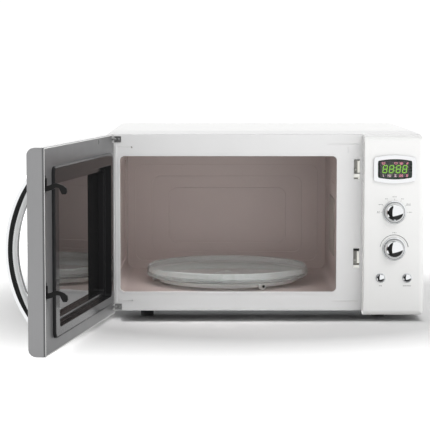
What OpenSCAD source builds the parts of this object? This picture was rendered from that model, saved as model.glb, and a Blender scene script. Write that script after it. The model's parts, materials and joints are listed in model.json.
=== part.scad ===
// Countertop microwave oven with a side-hinged door, shown open.
// Origin: centre of the four feet, on the surface that the oven stands on.
// X runs to the right, Y runs from the door side to the back, Z runs up.
// Most pieces are drawn in the front frame: x from the oven's centre, y from the
// front plate towards the back, z from the underside of the body.

/* [Body] */
// Width of the body
body_w = 485; // [440:1:600]
// Depth from the front plate to the rear panel
body_d = 355; // [325:1:430]
// Height of the cabinet above its underside
body_h = 273.5; // [262:0.5:330]
// Height of the feet
foot_h = 12; // [8:1:20]
// Radius of each foot
foot_r = 10; // [7:0.5:14]
// Distance from the feet's centres to the sides of the body
foot_inset_x = 64; // [30:1:90]
// Distance from the feet's centres to the front and back of the body
foot_inset_y = 35; // [25:1:60]
// Radius of the cabinet's long top edges
cabinet_edge_r = 15; // [8:0.5:20]
// Thickness of the sheet metal
sheet_t = 1; // [0.8:0.1:1.6]

/* [Front frame] */
// Depth of the moulded front frame
bezel_d = 45; // [30:1:60]
// Drop of the frame's top from the cabinet to the front plate
bezel_drop = 3; // [1:0.5:6]
// Thickness of the front plate and of the frame's rim
bezel_t = 2.5; // [2:0.1:4]
// Height of the latch slots
slot_h = 30; // [26:0.5:36]
// Width of the latch slots
slot_w = 9; // [8:0.5:12]

/* [Oven cavity] */
// Width of the cavity's mouth
mouth_w = 329.5; // [290:0.5:345]
// Height of the cavity's mouth
mouth_h = 207.5; // [180:0.5:218]
// Distance from the body's left side to the mouth
mouth_left = 24.5; // [20:0.5:30]
// Height of the mouth's lower edge above the underside
mouth_low = 29.5; // [27:0.5:40]
// Corner radius of the mouth
mouth_r = 7; // [4:0.5:12]
// Lip between the mouth and the cavity walls
mouth_lip = 5; // [3:0.5:6]
// Depth of the cavity
cavity_d = 322; // [280:1:324]

/* [Control panel] */
// Width of the control panel
panel_w = 92; // [86:1:100]
// How far the control panel stands in front of the front plate
panel_d = 29; // [26:0.5:36]
// Wall of the control panel's housing
panel_wall = 2.5; // [2:0.1:3.5]
// Radius of the panel's outer edges
panel_edge_r = 9; // [5:0.5:11]
// Width of the display's frame
display_w = 63; // [56:0.5:70]
// Height of the display's frame
display_h = 42; // [36:0.5:48]
// Radius of the two knobs
knob_r = 14.5; // [12:0.25:17]
// How far the knobs stand out of the panel
knob_d = 16; // [12:0.5:22]
// Radius of the two push buttons
button_r = 6; // [4.5:0.25:7]
// Travel of the push buttons
button_travel = 1.5; // [1:0.1:2.5]

/* [Door] */
// Angle at which the door stands open
door_open_angle = 100; // [0:1:105]
// Gap between the closed door and the control panel
door_gap = 2; // [1.5:0.25:4]
// How far the door and the panel reach below the body's underside
front_overhang = 3; // [0:0.5:5]
// Height of the door's and the panel's top edge above the body's underside
front_top = 270; // [255:0.5:320]
// Gap between the front plate and the closed door's rim
door_set_back = 5.5; // [5:0.1:8]
// Radius of the door's long outer edges
door_edge_r = 11; // [6:0.5:14]
// Wall of the door's outer moulding
door_wall = 2.5; // [2:0.1:3.5]
// How far the sealing cover stands out of the door's inner face
choke_proud = 4.2; // [3:0.1:4.5]
// Width of the handle's bar
handle_w = 24; // [16:0.5:30]
// Thickness of the handle's bar
handle_t = 17; // [12:0.5:19]
// How far the handle stands out of the door
handle_reach = 40; // [36:0.5:55]
// Length of the handle
handle_len = 216; // [180:1:236]

/* [Turntable] */
// Radius of the glass tray
tray_r = 131; // [110:0.5:140]
// Height of the glass tray
tray_h = 16; // [12:0.5:22]
// Thickness of the glass
tray_t = 4.5; // [3.5:0.25:6]
// Radius of the rollers
roller_r = 5.5; // [4.5:0.25:8]
// Width of the rollers
roller_w = 6; // [4:0.5:8]
// Radius of the circle that the rollers run on
track_r = 118; // [95:0.5:122]

/* [Hidden] */
$fn = 64;

// Clearances
fit_gap = 0.05;
slide_gap = 0.3;
loose_gap = 0.6;

// Front plane and underside, in the row's own frame
front_y = -body_d / 2;
side_x = body_w / 2;

// Cabinet
cabinet_lap = 6;
base_lip_h = 10;
vent_rows = 6;
vent_pitch = 7;
vent_l = 26;
vent_w = 3;
gland_x = side_x - 38;
gland_z = 46;
gland_r = 8;
gland_bore_r = 4;
screw_r = 3.5;
screw_h = 2;
screw_inset = 12;
rear_screws = [
    [-side_x + screw_inset, 40], [-side_x + screw_inset, body_h - 45],
    [side_x - screw_inset, 90], [side_x - screw_inset, body_h - 45],
    [-60, body_h - screw_inset], [60, body_h - screw_inset]
];

// Cavity, in the front frame
mouth_x0 = -side_x + mouth_left;
mouth_x1 = mouth_x0 + mouth_w;
mouth_z0 = mouth_low;
mouth_z1 = mouth_z0 + mouth_h;
mouth_x = (mouth_x0 + mouth_x1) / 2;
mouth_z = (mouth_z0 + mouth_z1) / 2;
cavity_x0 = mouth_x0 - mouth_lip;
cavity_x1 = mouth_x1 + mouth_lip;
cavity_z0 = mouth_z0 - mouth_lip;
cavity_z1 = mouth_z1 + mouth_lip;
cavity_y0 = bezel_t;
cavity_y1 = cavity_y0 + cavity_d;
cavity_edge_r = 12;
bead_w = 3;
bead_proud = 1;
mark_w = 1.4;
mark_d = 0.6;
emboss_d = 2;
emboss_steps = 3;
bay_x0 = cavity_x1 + emboss_d + sheet_t;
bay_x1 = side_x - sheet_t;

// Turntable centre
table_x = mouth_x;
table_y = (cavity_y0 + cavity_y1) / 2;
shaft_r = 4;
shaft_hole_r = 7;
track_z = cavity_z0 + roller_r + fit_gap;
tray_z = cavity_z0 + 2 * roller_r + 3 * fit_gap;
motor_r = 25;
ring_outer_r = track_r - roller_w / 2 - 4;
ring_width = 8;
hub_ring_r = 27;
axle_r = 1.4;
roller_count = 3;
roller_start = -63;

// Control panel, in the front frame
panel_x0 = side_x - panel_w;
panel_x1 = side_x;
panel_x = (panel_x0 + panel_x1) / 2;
panel_z0 = -front_overhang;
panel_corner_r = cabinet_edge_r;
panel_low_corner_r = 10;
panel_inside_y = -panel_d + panel_wall;
display_z = front_top - 51;
selector_z = display_z - 65;
timer_z = selector_z - 55.5;
buttons_z = timer_z - 44;
button_pitch = 40;
board_y = -9;
board_t = 1.6;
ring_proud = 2.4;
ring_r = knob_r + 3.2;
knob_shaft_r = 3;
encoder_d = 9;
button_head_d = 3;
lens_t = 2;

// Door in its closed place, in the front frame
door_x0 = -side_x;
door_w = body_w - panel_w - door_gap;
door_x1 = door_x0 + door_w;
door_z0 = -front_overhang;
door_z1 = front_top;
door_face_y = -panel_d;
door_back_y = -door_set_back;
door_corner_r = 4;
door_plate_t = 2.5;
door_plate_y = door_back_y - door_plate_t;
edge_trim_t = 3;
pin_x = door_x0 + 8.8;
pin_y = door_back_y - 5.7;
pin_r = 2.5;

// Window and sealing cover
choke_x0 = mouth_x0;
choke_x1 = mouth_x1;
choke_z0 = mouth_z0 - 14;
choke_z1 = mouth_z1 + 6.5;
choke_face_y = door_back_y + choke_proud;
choke_r = 9;
window_x0 = choke_x0 + 13;
window_x1 = choke_x1 - 20;
window_z0 = choke_z0 + 13;
window_z1 = choke_z1 - 17.5;
window_r = 5;
recess_wall = 2;
recess_step = 8;
step_y = -11;
recess_y = -19.5;
glass_t = 2.2;
screen_t = 0.8;
front_window_x0 = door_x0 + 42;
front_window_x1 = door_x1 - 74;
front_window_z0 = door_z0 + 42;
front_window_z1 = door_z1 - 42;
front_window_r = 16;
front_glass_lap = 8;
front_glass_t = 3;

// Door hook and latch
hook_x = panel_x0 - 8.5;
hook_t = 3.5;
hook_reach = 29;
hook_travel = 3;
hook_bar_d = 6;
hook_bar_y = door_plate_y - hook_bar_d - 1;
slot_pitch = mouth_h - 71.5;
slot_low_z = mouth_z0 + 51.5;
slot_high_z = slot_low_z + slot_pitch;
hook_low_z = slot_low_z - 2;
hook_high_z = slot_high_z + 2;
hook_zs = [hook_low_z, hook_high_z];
slot_zs = [slot_low_z, slot_high_z];
hook_tip_y = door_back_y + hook_reach;
hook_droop = 9;
hook_end = 14;
plunger_r = 1.5;
plunger_travel = 1.2;
switch_w = 6.4;
switch_l = 20;
switch_h = 10.5;
switch_end = 6;
latch_x1 = hook_x + 13;
switch_y = hook_tip_y + 2.6;
monitor_z = hook_high_z - hook_droop - 3.2;
monitor_y = hook_tip_y - 3.2;
spring_h = 18;
spring_coil_r = 2.6;
spring_wire_r = 0.4;
spring_turns = 9;

// Hinge plates
hinge_t = 2;
hinge_reach = 5;
hinge_high_z = door_z1 - 7.5;
hinge_low_z = door_z0 + 9.5;
hinge_notch_h = 10.5;
hinge_pin_len = 12;

// Handle
handle_x = door_x1 - 38;
handle_z = (door_z0 + door_z1) / 2 - 1;
handle_arc_r = (pow(handle_len / 2, 2) + pow(handle_reach, 2)) / (2 * handle_reach);
handle_half_angle = asin(handle_len / 2 / handle_arc_r);
handle_foot_z = handle_len / 2 - 16;
handle_edge_r = handle_t / 2 - 0.1;

// Machine bay
fan_x = (bay_x0 + bay_x1) / 2;
fan_z = 168;
fan_r = 44;
fan_y = cavity_y1 - 22;
fan_hub_r = 11;
fan_shaft_r = 2;
guide_w = 32;
guide_y0 = table_y - 42;
guide_y1 = table_y + 42;
guide_z0 = cavity_z0 + 58;
guide_z1 = cavity_z1 - 12;
cover_y0 = table_y - 52;
cover_y1 = table_y + 48;
cover_z0 = cavity_z0 + 46;
cover_z1 = cavity_z0 + 138;
magnetron_z = guide_z1 - 38;
core_x = fan_x + 6;
core_y = table_y + 8;
core_w = 88;
core_d = 62;
core_h = 74;

// ---------------------------------------------------------------- shared shapes

// Moves the front frame into the row's frame.
module from_front() translate([0, front_y, foot_h]) children();

// Turns the closed door to its open place about the hinge pins.
module swung_open()
    from_front()
        translate([pin_x, pin_y, 0])
            rotate([0, 0, -door_open_angle])
                translate([-pin_x, -pin_y, 0]) children();

// Extrudes a (y, z) outline from x0 to x1.
module along_x(x0, x1) translate([x0, 0, 0]) rotate([90, 0, 90]) linear_extrude(x1 - x0) children();

// Extrudes an (x, z) outline from y0 to y1.
module along_y(y0, y1) translate([0, y1, 0]) rotate([90, 0, 0]) linear_extrude(y1 - y0) children();

// Extrudes an (x, y) outline from z0 to z1.
module along_z(z0, z1) translate([0, 0, z0]) linear_extrude(z1 - z0) children();

// A box between two corners.
module block(low, high) translate(low) cube(high - low);

// A round rod along Y, with its axis at (x, z).
module rod_y(x, z, y0, y1, r) translate([x, y1, z]) rotate([90, 0, 0]) cylinder(h = y1 - y0, r = r);

// A round rod along X, with its axis at (y, z).
module rod_x(y, z, x0, x1, r) translate([x0, y, z]) rotate([0, 90, 0]) cylinder(h = x1 - x0, r = r);

// A rectangle from (x0, y0) to (x1, y1) with its own radius at each corner,
// in the order low-left, low-right, high-right, high-left.
module rounded_outline(x0, y0, x1, y1, radii) {
    polygon([
        [x0 + radii[0], y0], [x1 - radii[1], y0], [x1, y0 + radii[1]], [x1, y1 - radii[2]],
        [x1 - radii[2], y1], [x0 + radii[3], y1], [x0, y1 - radii[3]], [x0, y0 + radii[0]]
    ]);
    if (radii[0] > 0) translate([x0 + radii[0], y0 + radii[0]]) circle(radii[0]);
    if (radii[1] > 0) translate([x1 - radii[1], y0 + radii[1]]) circle(radii[1]);
    if (radii[2] > 0) translate([x1 - radii[2], y1 - radii[2]]) circle(radii[2]);
    if (radii[3] > 0) translate([x0 + radii[3], y1 - radii[3]]) circle(radii[3]);
}

// The same with one radius.
module soft_rect(x0, y0, x1, y1, r) rounded_outline(x0, y0, x1, y1, [r, r, r, r]);

// A slot with round ends, centred on the origin.
module slot_2d(length, width) {
    square([length - width, width], center = true);
    translate([-(length - width) / 2, 0]) circle(width / 2);
    translate([(length - width) / 2, 0]) circle(width / 2);
}

// ---------------------------------------------------------------- body

// Outline of the body in (x, z), pulled in by a margin.
module body_outline(margin, top) {
    r_top = cabinet_edge_r - margin;
    rounded_outline(-side_x + margin, margin, side_x - margin, top - margin, [2, 2, r_top, r_top]);
}

// A block of horizontal vent slots, centred on the origin of its (u, v) plane.
module vents_2d(columns, rows) {
    for (column = [0:columns - 1])
        for (row = [0:rows - 1])
            translate([
                (column - (columns - 1) / 2) * (vent_l + 6),
                (row - (rows - 1) / 2) * vent_pitch
            ])
                slot_2d(vent_l, vent_w);
}

module outer_cabinet() {
    color("white") from_front() difference() {
        along_y(bezel_d, body_d) body_outline(0, body_h);
        along_y(bezel_d - 1, body_d + 1) body_outline(sheet_t, body_h);
        block([-side_x + sheet_t + cabinet_lap, bezel_d - 1, -1],
            [side_x - sheet_t - cabinet_lap, body_d + 1, sheet_t + 1]);
        along_x(-side_x - 1, side_x + 1)
            translate([body_d - 75, body_h - 70]) vents_2d(3, vent_rows);
        along_x(side_x - 3, side_x + 1)
            translate([body_d - 75, 70]) vents_2d(3, vent_rows);
    }
}

module base_plate() {
    x0 = -side_x + sheet_t + cabinet_lap;
    x1 = side_x - sheet_t - cabinet_lap;
    y0 = bezel_d;
    y1 = body_d - sheet_t;
    color("silver") from_front() difference() {
        block([x0, y0, 0], [x1, y1, base_lip_h]);
        block([x0 + sheet_t, y0 + sheet_t, sheet_t], [x1 - sheet_t, y1 - sheet_t, base_lip_h + 1]);
        for (u = [-1, 1])
            translate([u * (side_x - foot_inset_x), body_d - foot_inset_y, -1]) cylinder(h = 5, r = 2.2);
        along_z(-1, sheet_t + 1)
            translate([fan_x, body_d - 90]) rotate(90) vents_2d(2, vent_rows);
    }
}

module rear_panel() {
    color("white") from_front() difference() {
        along_y(body_d - sheet_t, body_d) body_outline(sheet_t, body_h);
        along_y(body_d - sheet_t - 1, body_d + 1)
            translate([fan_x, fan_z]) vents_2d(3, 10);
        along_y(body_d - sheet_t - 1, body_d + 1)
            translate([mouth_x, body_h - 45]) vents_2d(4, 4);
        rod_y(gland_x, gland_z, body_d - sheet_t - 1, body_d + 1, gland_r);
    }
}

module cord_gland() {
    flange_t = 2.5;
    nose_l = 9;
    color("dimgray") from_front() difference() {
        union() {
            rod_y(gland_x, gland_z, body_d - sheet_t - 5, body_d, gland_r - fit_gap);
            rod_y(gland_x, gland_z, body_d, body_d + flange_t, gland_r + 3);
            translate([gland_x, body_d + flange_t, gland_z]) rotate([-90, 0, 0])
                cylinder(h = nose_l, r1 = gland_r, r2 = gland_r - 2);
        }
        rod_y(gland_x, gland_z, body_d - sheet_t - 6, body_d + flange_t + nose_l + 1, gland_bore_r);
    }
}

module cabinet_screws() {
    color("silver") from_front() for (place = rear_screws) {
        difference() {
            rod_y(place[0], place[1], body_d, body_d + screw_h, screw_r);
            block([place[0] - 2.5, body_d + 1, place[1] - 0.4], [place[0] + 2.5, body_d + 3, place[1] + 0.4]);
            block([place[0] - 0.4, body_d + 1, place[1] - 2.5], [place[0] + 0.4, body_d + 3, place[1] + 2.5]);
        }
    }
}

// Side profile of the front frame: its top slopes down towards the front plate.
module bezel_side(margin) {
    top = body_h - margin;
    front = margin;
    low = margin;
    nose_r = 2;
    polygon([
        [front, low + nose_r], [front + nose_r, low], [bezel_d, low], [bezel_d, top],
        [front + nose_r, top - bezel_drop], [front, top - bezel_drop - nose_r]
    ]);
    translate([front + nose_r, low + nose_r]) circle(nose_r);
    translate([front + nose_r, top - bezel_drop - nose_r]) circle(nose_r);
}

module front_frame() {
    rib_x = mouth_x0 - 6;
    color("whitesmoke") from_front() difference() {
        union() {
            difference() {
                intersection() {
                    along_x(-side_x, side_x) bezel_side(0);
                    along_y(-1, bezel_d) rounded_outline(-side_x, 0, side_x, body_h,
                        [8, panel_low_corner_r, cabinet_edge_r, cabinet_edge_r]);
                }
                intersection() {
                    along_x(-side_x + bezel_t, side_x - bezel_t)
                        polygon([
                            [bezel_t, bezel_t], [bezel_d + 1, bezel_t],
                            [bezel_d + 1, body_h - bezel_t], [bezel_t, body_h - bezel_drop - bezel_t]
                        ]);
                    along_y(bezel_t, bezel_d + 1) rounded_outline(-side_x + bezel_t, bezel_t,
                        side_x - bezel_t, body_h, [6, 6, cabinet_edge_r, cabinet_edge_r]);
                }
            }
            along_y(-bead_proud, 1)
                soft_rect(mouth_x0 - bead_w, mouth_z0 - bead_w, mouth_x1 + bead_w, mouth_z1 + bead_w,
                    mouth_r + bead_w);
            block([rib_x - 1.2, -bead_proud, hinge_low_z + 7], [rib_x + 1.2, 1, hinge_high_z - 7]);
            block([mouth_x1 - 6, -mark_d, mouth_z0 - 15.2], [mouth_x1 + 34, 1, mouth_z0 - 13.8]);
        }
        along_y(-bead_proud - 1, bezel_t + 1) soft_rect(mouth_x0, mouth_z0, mouth_x1, mouth_z1, mouth_r);
        for (z = slot_zs)
            block([hook_x - slot_w / 2, -1, z - slot_h / 2], [hook_x + slot_w / 2, bezel_t + 1, z + slot_h / 2]);
        for (z = [mouth_z0 - 13.5, mouth_z1 + 13.5]) {
            rod_y(mouth_x0 + 18, z, -1, bezel_t + 1, 1.1);
            block([mouth_x0 - 4, -1, z - mark_w / 2], [mouth_x0 + 17, mark_d, z + mark_w / 2]);
        }
        block([mouth_x1 - 14, -1, mouth_z1 + 17], [mouth_x1 + 34, mark_d, mouth_z1 + 17 + mark_w]);
        block([mouth_x1 + 16, -1, mouth_z1 + 5], [mouth_x1 + 16 + mark_w, mark_d, mouth_z1 + 14]);
    }
}

module feet() {
    color("black") from_front()
        for (u = [-1, 1])
            for (y = [foot_inset_y, body_d - foot_inset_y])
                translate([u * (side_x - foot_inset_x), y, -foot_h]) {
                    cylinder(h = foot_h, r = foot_r);
                    if (y > body_d / 2) cylinder(h = foot_h + 4, r = 2.2 - fit_gap);
                }
}

// ---------------------------------------------------------------- oven cavity

// Outline of the cavity's space in (x, z), grown by a margin.
module cavity_outline(margin) {
    soft_rect(cavity_x0 - margin, cavity_z0 - margin, cavity_x1 + margin, cavity_z1 + margin,
        cavity_edge_r + margin);
}

// Stepped pressing of the back wall, grown by a margin.
module back_pressing(margin) {
    for (step = [0:emboss_steps - 1])
        along_y(cavity_y1 - 0.1, cavity_y1 + (step + 1) * emboss_d + margin)
            soft_rect(
                cavity_x0 + 14 + 29 * step - margin, cavity_z0 + 14 + 15 * step - margin,
                cavity_x1 - 14 - 27 * step + margin, cavity_z1 - 38 - 20 * step + margin,
                14 + margin);
}

// Pressing of the left wall, grown by a margin.
module left_pressing(margin) {
    along_x(cavity_x0 - emboss_d - margin, cavity_x0 + 0.1)
        soft_rect(cavity_y0 + 40 - margin, cavity_z0 + 26 - margin, cavity_y1 - 32 + margin,
            cavity_z1 - 26 + margin, 18 + margin);
}

module oven_cavity() {
    lamp_hole_r = 1.5;
    color("gainsboro") from_front() difference() {
        union() {
            along_y(cavity_y0, cavity_y1 + sheet_t) cavity_outline(sheet_t);
            back_pressing(sheet_t);
            left_pressing(sheet_t);
            along_y(cavity_y0, cavity_y0 + sheet_t)
                soft_rect(cavity_x0 - 8, cavity_z0 - 8, cavity_x1 + 8, cavity_z1 + 8, 14);
        }
        along_y(cavity_y0 - 1, cavity_y1) cavity_outline(0);
        back_pressing(0);
        left_pressing(0);
        translate([table_x, table_y, cavity_z0 - 3]) cylinder(h = 6, r = shaft_hole_r);
        block([cavity_x1 - 1, guide_y0 + 4, cover_z0 + 8], [cavity_x1 + 3, guide_y1 - 4, cover_z1 - 8]);
        for (row = [0:3])
            for (column = [0:8])
                rod_x(table_y - 40 + column * 8, cover_z1 + 24 + row * 5, cavity_x1 - 1, cavity_x1 + 3,
                    lamp_hole_r);
    }
}

module waveguide_cover() {
    color("dimgray") from_front()
        along_x(cavity_x1 - 1.2, cavity_x1)
            soft_rect(cover_y0, cover_z0, cover_y1, cover_z1, 5);
}

module waveguide() {
    x0 = cavity_x1 + sheet_t;
    color("lightgray") from_front() difference() {
        block([x0, guide_y0, guide_z0], [x0 + guide_w, guide_y1, guide_z1]);
        block([x0 - 1, guide_y0 + sheet_t, guide_z0 + sheet_t],
            [x0 + guide_w - sheet_t, guide_y1 - sheet_t, cover_z1 - 4]);
        block([x0 + sheet_t, guide_y0 + sheet_t, guide_z0 + sheet_t],
            [x0 + guide_w - sheet_t, guide_y1 - sheet_t, guide_z1 - sheet_t]);
        rod_x(table_y, magnetron_z, x0 + guide_w - 3, x0 + guide_w + 3, 12.5);
    }
}

module magnetron() {
    x0 = cavity_x1 + sheet_t + guide_w;
    x1 = bay_x1 - 12;
    fins = 7;
    color("lightsteelblue") from_front() {
        difference() {
            block([x0, table_y - 40, magnetron_z - 30], [x1, table_y + 40, magnetron_z + 30]);
            block([x0 + 4, table_y - 36, magnetron_z - 31], [x1 - 3, table_y + 36, magnetron_z + 31]);
        }
        rod_x(table_y, magnetron_z, x0 + 3, x1 - 2, 18);
        for (fin = [0:fins - 1])
            block([x0 + 12 + fin * 5, table_y - 36.5, magnetron_z - 28],
                [x0 + 12.8 + fin * 5, table_y + 36.5, magnetron_z + 28]);
        rod_x(table_y, magnetron_z, x0 - guide_w + 8, x0 + 2, 8);
        rod_x(table_y, magnetron_z, x0 - sheet_t - 4, x0 + 2, 12);
    }
}

module air_duct() {
    x0 = cavity_x1 + sheet_t;
    z0 = cover_z1 + 20;
    color("lightgray") from_front() difference() {
        block([x0, guide_y1 + 3, z0 - 4], [bay_x1 - 14, fan_y - 11, magnetron_z + 34]);
        block([x0 - 1, guide_y1 + 5, z0 - 2], [bay_x1 - 16, fan_y - 10, magnetron_z + 32]);
        block([x0 + 3, guide_y1 + 2, z0 - 2], [bay_x1 - 16, guide_y1 + 6, magnetron_z + 32]);
    }
}

module oven_lamp() {
    x0 = cavity_x1 + sheet_t;
    lamp_y = guide_y0 - 18;
    color("khaki") from_front() {
        rod_x(lamp_y, cover_z1 + 32, x0, x0 + 22, 9);
        rod_x(lamp_y, cover_z1 + 32, x0 + 22, x0 + 36, 7);
    }
}

module thermal_cutout() {
    color("black") from_front() {
        rod_x(guide_y0 - 24, cavity_z0 + 60, cavity_x1 + sheet_t, cavity_x1 + sheet_t + 6, 8);
        for (z = [-3, 3])
            block([cavity_x1 + sheet_t + 6, guide_y0 - 27, cavity_z0 + 59.4 + z],
                [cavity_x1 + sheet_t + 16, guide_y0 - 21, cavity_z0 + 60.6 + z]);
    }
}

// ---------------------------------------------------------------- high-voltage parts

module transformer_core() {
    color("slategray") from_front() difference() {
        union() {
            block([core_x - core_w / 2, core_y - core_d / 2, sheet_t + 3],
                [core_x + core_w / 2, core_y + core_d / 2, sheet_t + 3 + core_h]);
            block([core_x - core_w / 2 - 8, core_y - core_d / 2, sheet_t],
                [core_x + core_w / 2, core_y + core_d / 2, sheet_t + 3]);
        }
        for (u = [-1, 1])
            block([core_x + u * 22 - 9, core_y - core_d / 2 - 1, sheet_t + 3 + 15],
                [core_x + u * 22 + 9, core_y + core_d / 2 + 1, sheet_t + 3 + core_h - 15]);
    }
}

module transformer_windings() {
    z0 = sheet_t + 3 + 15;
    z1 = sheet_t + 3 + core_h - 15;
    overhang = 12;
    color("peru") from_front() difference() {
        along_z(z0 + 0.5, z1 - 0.5)
            soft_rect(core_x - 30.5, core_y - core_d / 2 - overhang, core_x + 30.5,
                core_y + core_d / 2 + overhang, 10);
        block([core_x - 13, core_y - core_d / 2 - 1, z0 - 1], [core_x + 13, core_y + core_d / 2 + 1, z1 + 1]);
    }
}

module capacitor() {
    x0 = bay_x0 + 42;
    y0 = core_y + core_d / 2 + 26;
    color("lightgray") from_front() {
        along_y(y0, y0 + 70) {
            translate([x0, 24]) circle(17);
            translate([x0 + 22, 24]) circle(17);
            translate([x0, 7]) square([22, 34]);
        }
        for (u = [0, 22])
            block([x0 + u - 2, y0 - 8, 20], [x0 + u + 2, y0 + 1, 28]);
        block([x0 + 9, y0 + 20, sheet_t], [x0 + 13, y0 + 40, 8]);
    }
}

module diode() {
    color("black") from_front()
        translate([bay_x0 + 14, core_y + core_d / 2 + 40, 16]) {
            rotate([90, 0, 0]) cylinder(h = 16, r = 3.5, center = true);
            rotate([90, 0, 0]) cylinder(h = 30, r = 0.7, center = true);
            translate([-1.5, 12, -16 + sheet_t]) cube([3, 3, 16.5]);
        }
}

module noise_filter() {
    x0 = bay_x0 + 8;
    y0 = cavity_y1 - 92;
    z0 = 58;
    color("darkgreen") from_front() {
        block([x0, y0, z0], [x0 + board_t, y0 + 60, z0 + 44]);
        for (y = [y0 + 5, y0 + 55])
            rod_x(y, z0 + 6, cavity_x1 + sheet_t, x0, 2.5);
        rod_x(y0 + 16, z0 + 24, x0 + board_t, x0 + 14, 10);
        block([x0 + board_t, y0 + 32, z0 + 22], [x0 + 12, y0 + 54, z0 + 38]);
    }
}

module fuse() {
    x0 = bay_x0 + 8 + board_t;
    y0 = cavity_y1 - 92;
    color("ivory") from_front() {
        rod_y(x0 + 5, 66, y0 + 30, y0 + 56, 3);
        for (y = [y0 + 31, y0 + 51])
            block([x0, y, 62], [x0 + 5, y + 4, 70]);
    }
}

// ---------------------------------------------------------------- fan

module fan_shroud() {
    z0 = fan_z - fan_r - 8;
    z1 = fan_z + fan_r + 8;
    color("whitesmoke") from_front() difference() {
        block([bay_x0 + 2, fan_y - 11, z0], [bay_x1 - 6, fan_y + 11, z1]);
        rod_y(fan_x, fan_z, fan_y - 12, fan_y + 12, fan_r + 3);
    }
}

module fan_motor() {
    bar = 5;
    color("silver") from_front() difference() {
        union() {
            rod_y(fan_x, fan_z, fan_y + 12, fan_y + 28, 17);
            for (u = [-1, 1])
                block([fan_x + u * 29 - bar - 17, fan_y + 13, fan_z - bar],
                    [fan_x + u * 29 + bar + 17, fan_y + 17, fan_z + bar]);
            for (u = [-1, 1])
                block([fan_x + u * 49 - 2, fan_y + 11, fan_z - bar], [fan_x + u * 49 + 2, fan_y + 17, fan_z + bar]);
        }
        rod_y(fan_x, fan_z, fan_y + 5, fan_y + 22, fan_shaft_r + fit_gap);
    }
}

module fan_blade() {
    blades = 6;
    color("gray") from_front() {
        rod_y(fan_x, fan_z, fan_y - 8, fan_y + 8, fan_hub_r);
        rod_y(fan_x, fan_z, fan_y + 7, fan_y + 21, fan_shaft_r);
        translate([fan_x, fan_y, fan_z])
            for (blade = [0:blades - 1])
                rotate([0, blade * 360 / blades, 0])
                    translate([0, 0, fan_hub_r - 2])
                        rotate([0, 0, 32])
                            translate([-10, -0.8, 0]) cube([20, 1.6, fan_r - fan_hub_r - 1]);
    }
}

// ---------------------------------------------------------------- turntable

module turntable_motor() {
    z0 = sheet_t;
    z1 = cavity_z0 - sheet_t - 1;
    color("silver") from_front() difference() {
        union() {
            translate([table_x, table_y, z0]) cylinder(h = z1 - z0 - 6, r = motor_r);
            translate([table_x, table_y, z0]) cylinder(h = z1 - z0, r = 11);
            block([table_x - 36, table_y - 6, z1 - 8], [table_x + 36, table_y + 6, z1 - 6]);
            for (u = [-1, 1])
                block([table_x + u * 34 - 2, table_y - 6, z1 - 8], [table_x + u * 34 + 2, table_y + 6, z1 + 1]);
        }
        translate([table_x, table_y, z1 - 12]) cylinder(h = 20, r = shaft_r + fit_gap);
    }
}

// Three lobes at 120 degrees that drive the tray.
module turntable_coupler() {
    z_top = tray_z;
    z_arm = cavity_z0 + 2;
    lobe_w = 6;
    color("lightgray") from_front() translate([table_x, table_y, 0]) {
        translate([0, 0, cavity_z0 - sheet_t - 10]) cylinder(h = z_arm - cavity_z0 + sheet_t + 11, r = shaft_r);
        along_z(z_arm, z_top) {
            circle(9);
            for (lobe = [0:2])
                rotate(lobe * 120 + 90) {
                    translate([4, -lobe_w / 2]) square([14, lobe_w]);
                    translate([18, 0]) circle(3.5);
                }
        }
    }
}

// Revolved section of the tray, with its underside at zero.
module tray_section() {
    heel = 3;
    rim_r = tray_r - 2;
    wall_t = tray_t;
    polygon([
        [0, 0], [tray_r - heel, 0], [tray_r, heel], [rim_r, tray_h - wall_t / 2],
        [rim_r - wall_t, tray_h - wall_t / 2], [tray_r - wall_t - 1, tray_t + 2.5],
        [tray_r - wall_t - 4, tray_t], [0, tray_t]
    ]);
    translate([tray_r - heel, heel]) circle(heel);
    translate([rim_r - wall_t / 2, tray_h - wall_t / 2]) circle(wall_t / 2);
}

module glass_tray() {
    lug_h = 5;
    color([0.82, 0.9, 0.88, 0.5]) from_front() translate([table_x, table_y, tray_z]) {
        rotate_extrude() tray_section();
        for (lug = [0:2])
            rotate([0, 0, lug * 120 + 150])
                translate([15, 0, -lug_h]) cylinder(h = lug_h + 1, r = 3.5);
    }
}

// A place at the ring's roller of the given number: x points out along its axle.
module at_roller(number)
    translate([table_x, table_y, track_z])
        rotate([0, 0, roller_start + number * 360 / roller_count])
            translate([track_r, 0, 0]) children();

// A flat ring of the turntable's carrier.
module carrier_ring(outer_r, inner_r, t)
    translate([table_x, table_y, track_z - t / 2]) difference() {
        cylinder(h = t, r = outer_r);
        translate([0, 0, -1]) cylinder(h = t + 2, r = inner_r);
    }

module roller_ring() {
    ring_t = 5;
    spoke_t = 4;
    color("whitesmoke") from_front() {
        carrier_ring(ring_outer_r, ring_outer_r - ring_width, ring_t);
        carrier_ring(hub_ring_r + 5, hub_ring_r, ring_t);
        translate([table_x, table_y, track_z])
            for (spoke = [0:roller_count - 1])
                rotate([0, 0, roller_start + spoke * 360 / roller_count])
                    translate([hub_ring_r + 2, -4, -spoke_t / 2])
                        cube([ring_outer_r - hub_ring_r - 6, 8, spoke_t]);
        for (number = [0:roller_count - 1])
            at_roller(number) {
                axle_in = ring_outer_r - track_r - 2;
                rod_x(0, 0, axle_in, roller_w / 2 + 1.4, axle_r);
                rod_x(0, 0, roller_w / 2 + 0.4, roller_w / 2 + 1.4, axle_r + 1);
            }
    }
}

module roller(number) {
    color("white") from_front() at_roller(number) difference() {
        union() {
            rod_x(0, 0, -roller_w / 2, roller_w / 2, roller_r - 0.6);
            rod_x(0, 0, -roller_w / 2 + 0.6, roller_w / 2 - 0.6, roller_r);
        }
        rod_x(0, 0, -roller_w, roller_w, axle_r + fit_gap);
    }
}

// ---------------------------------------------------------------- latch

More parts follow.
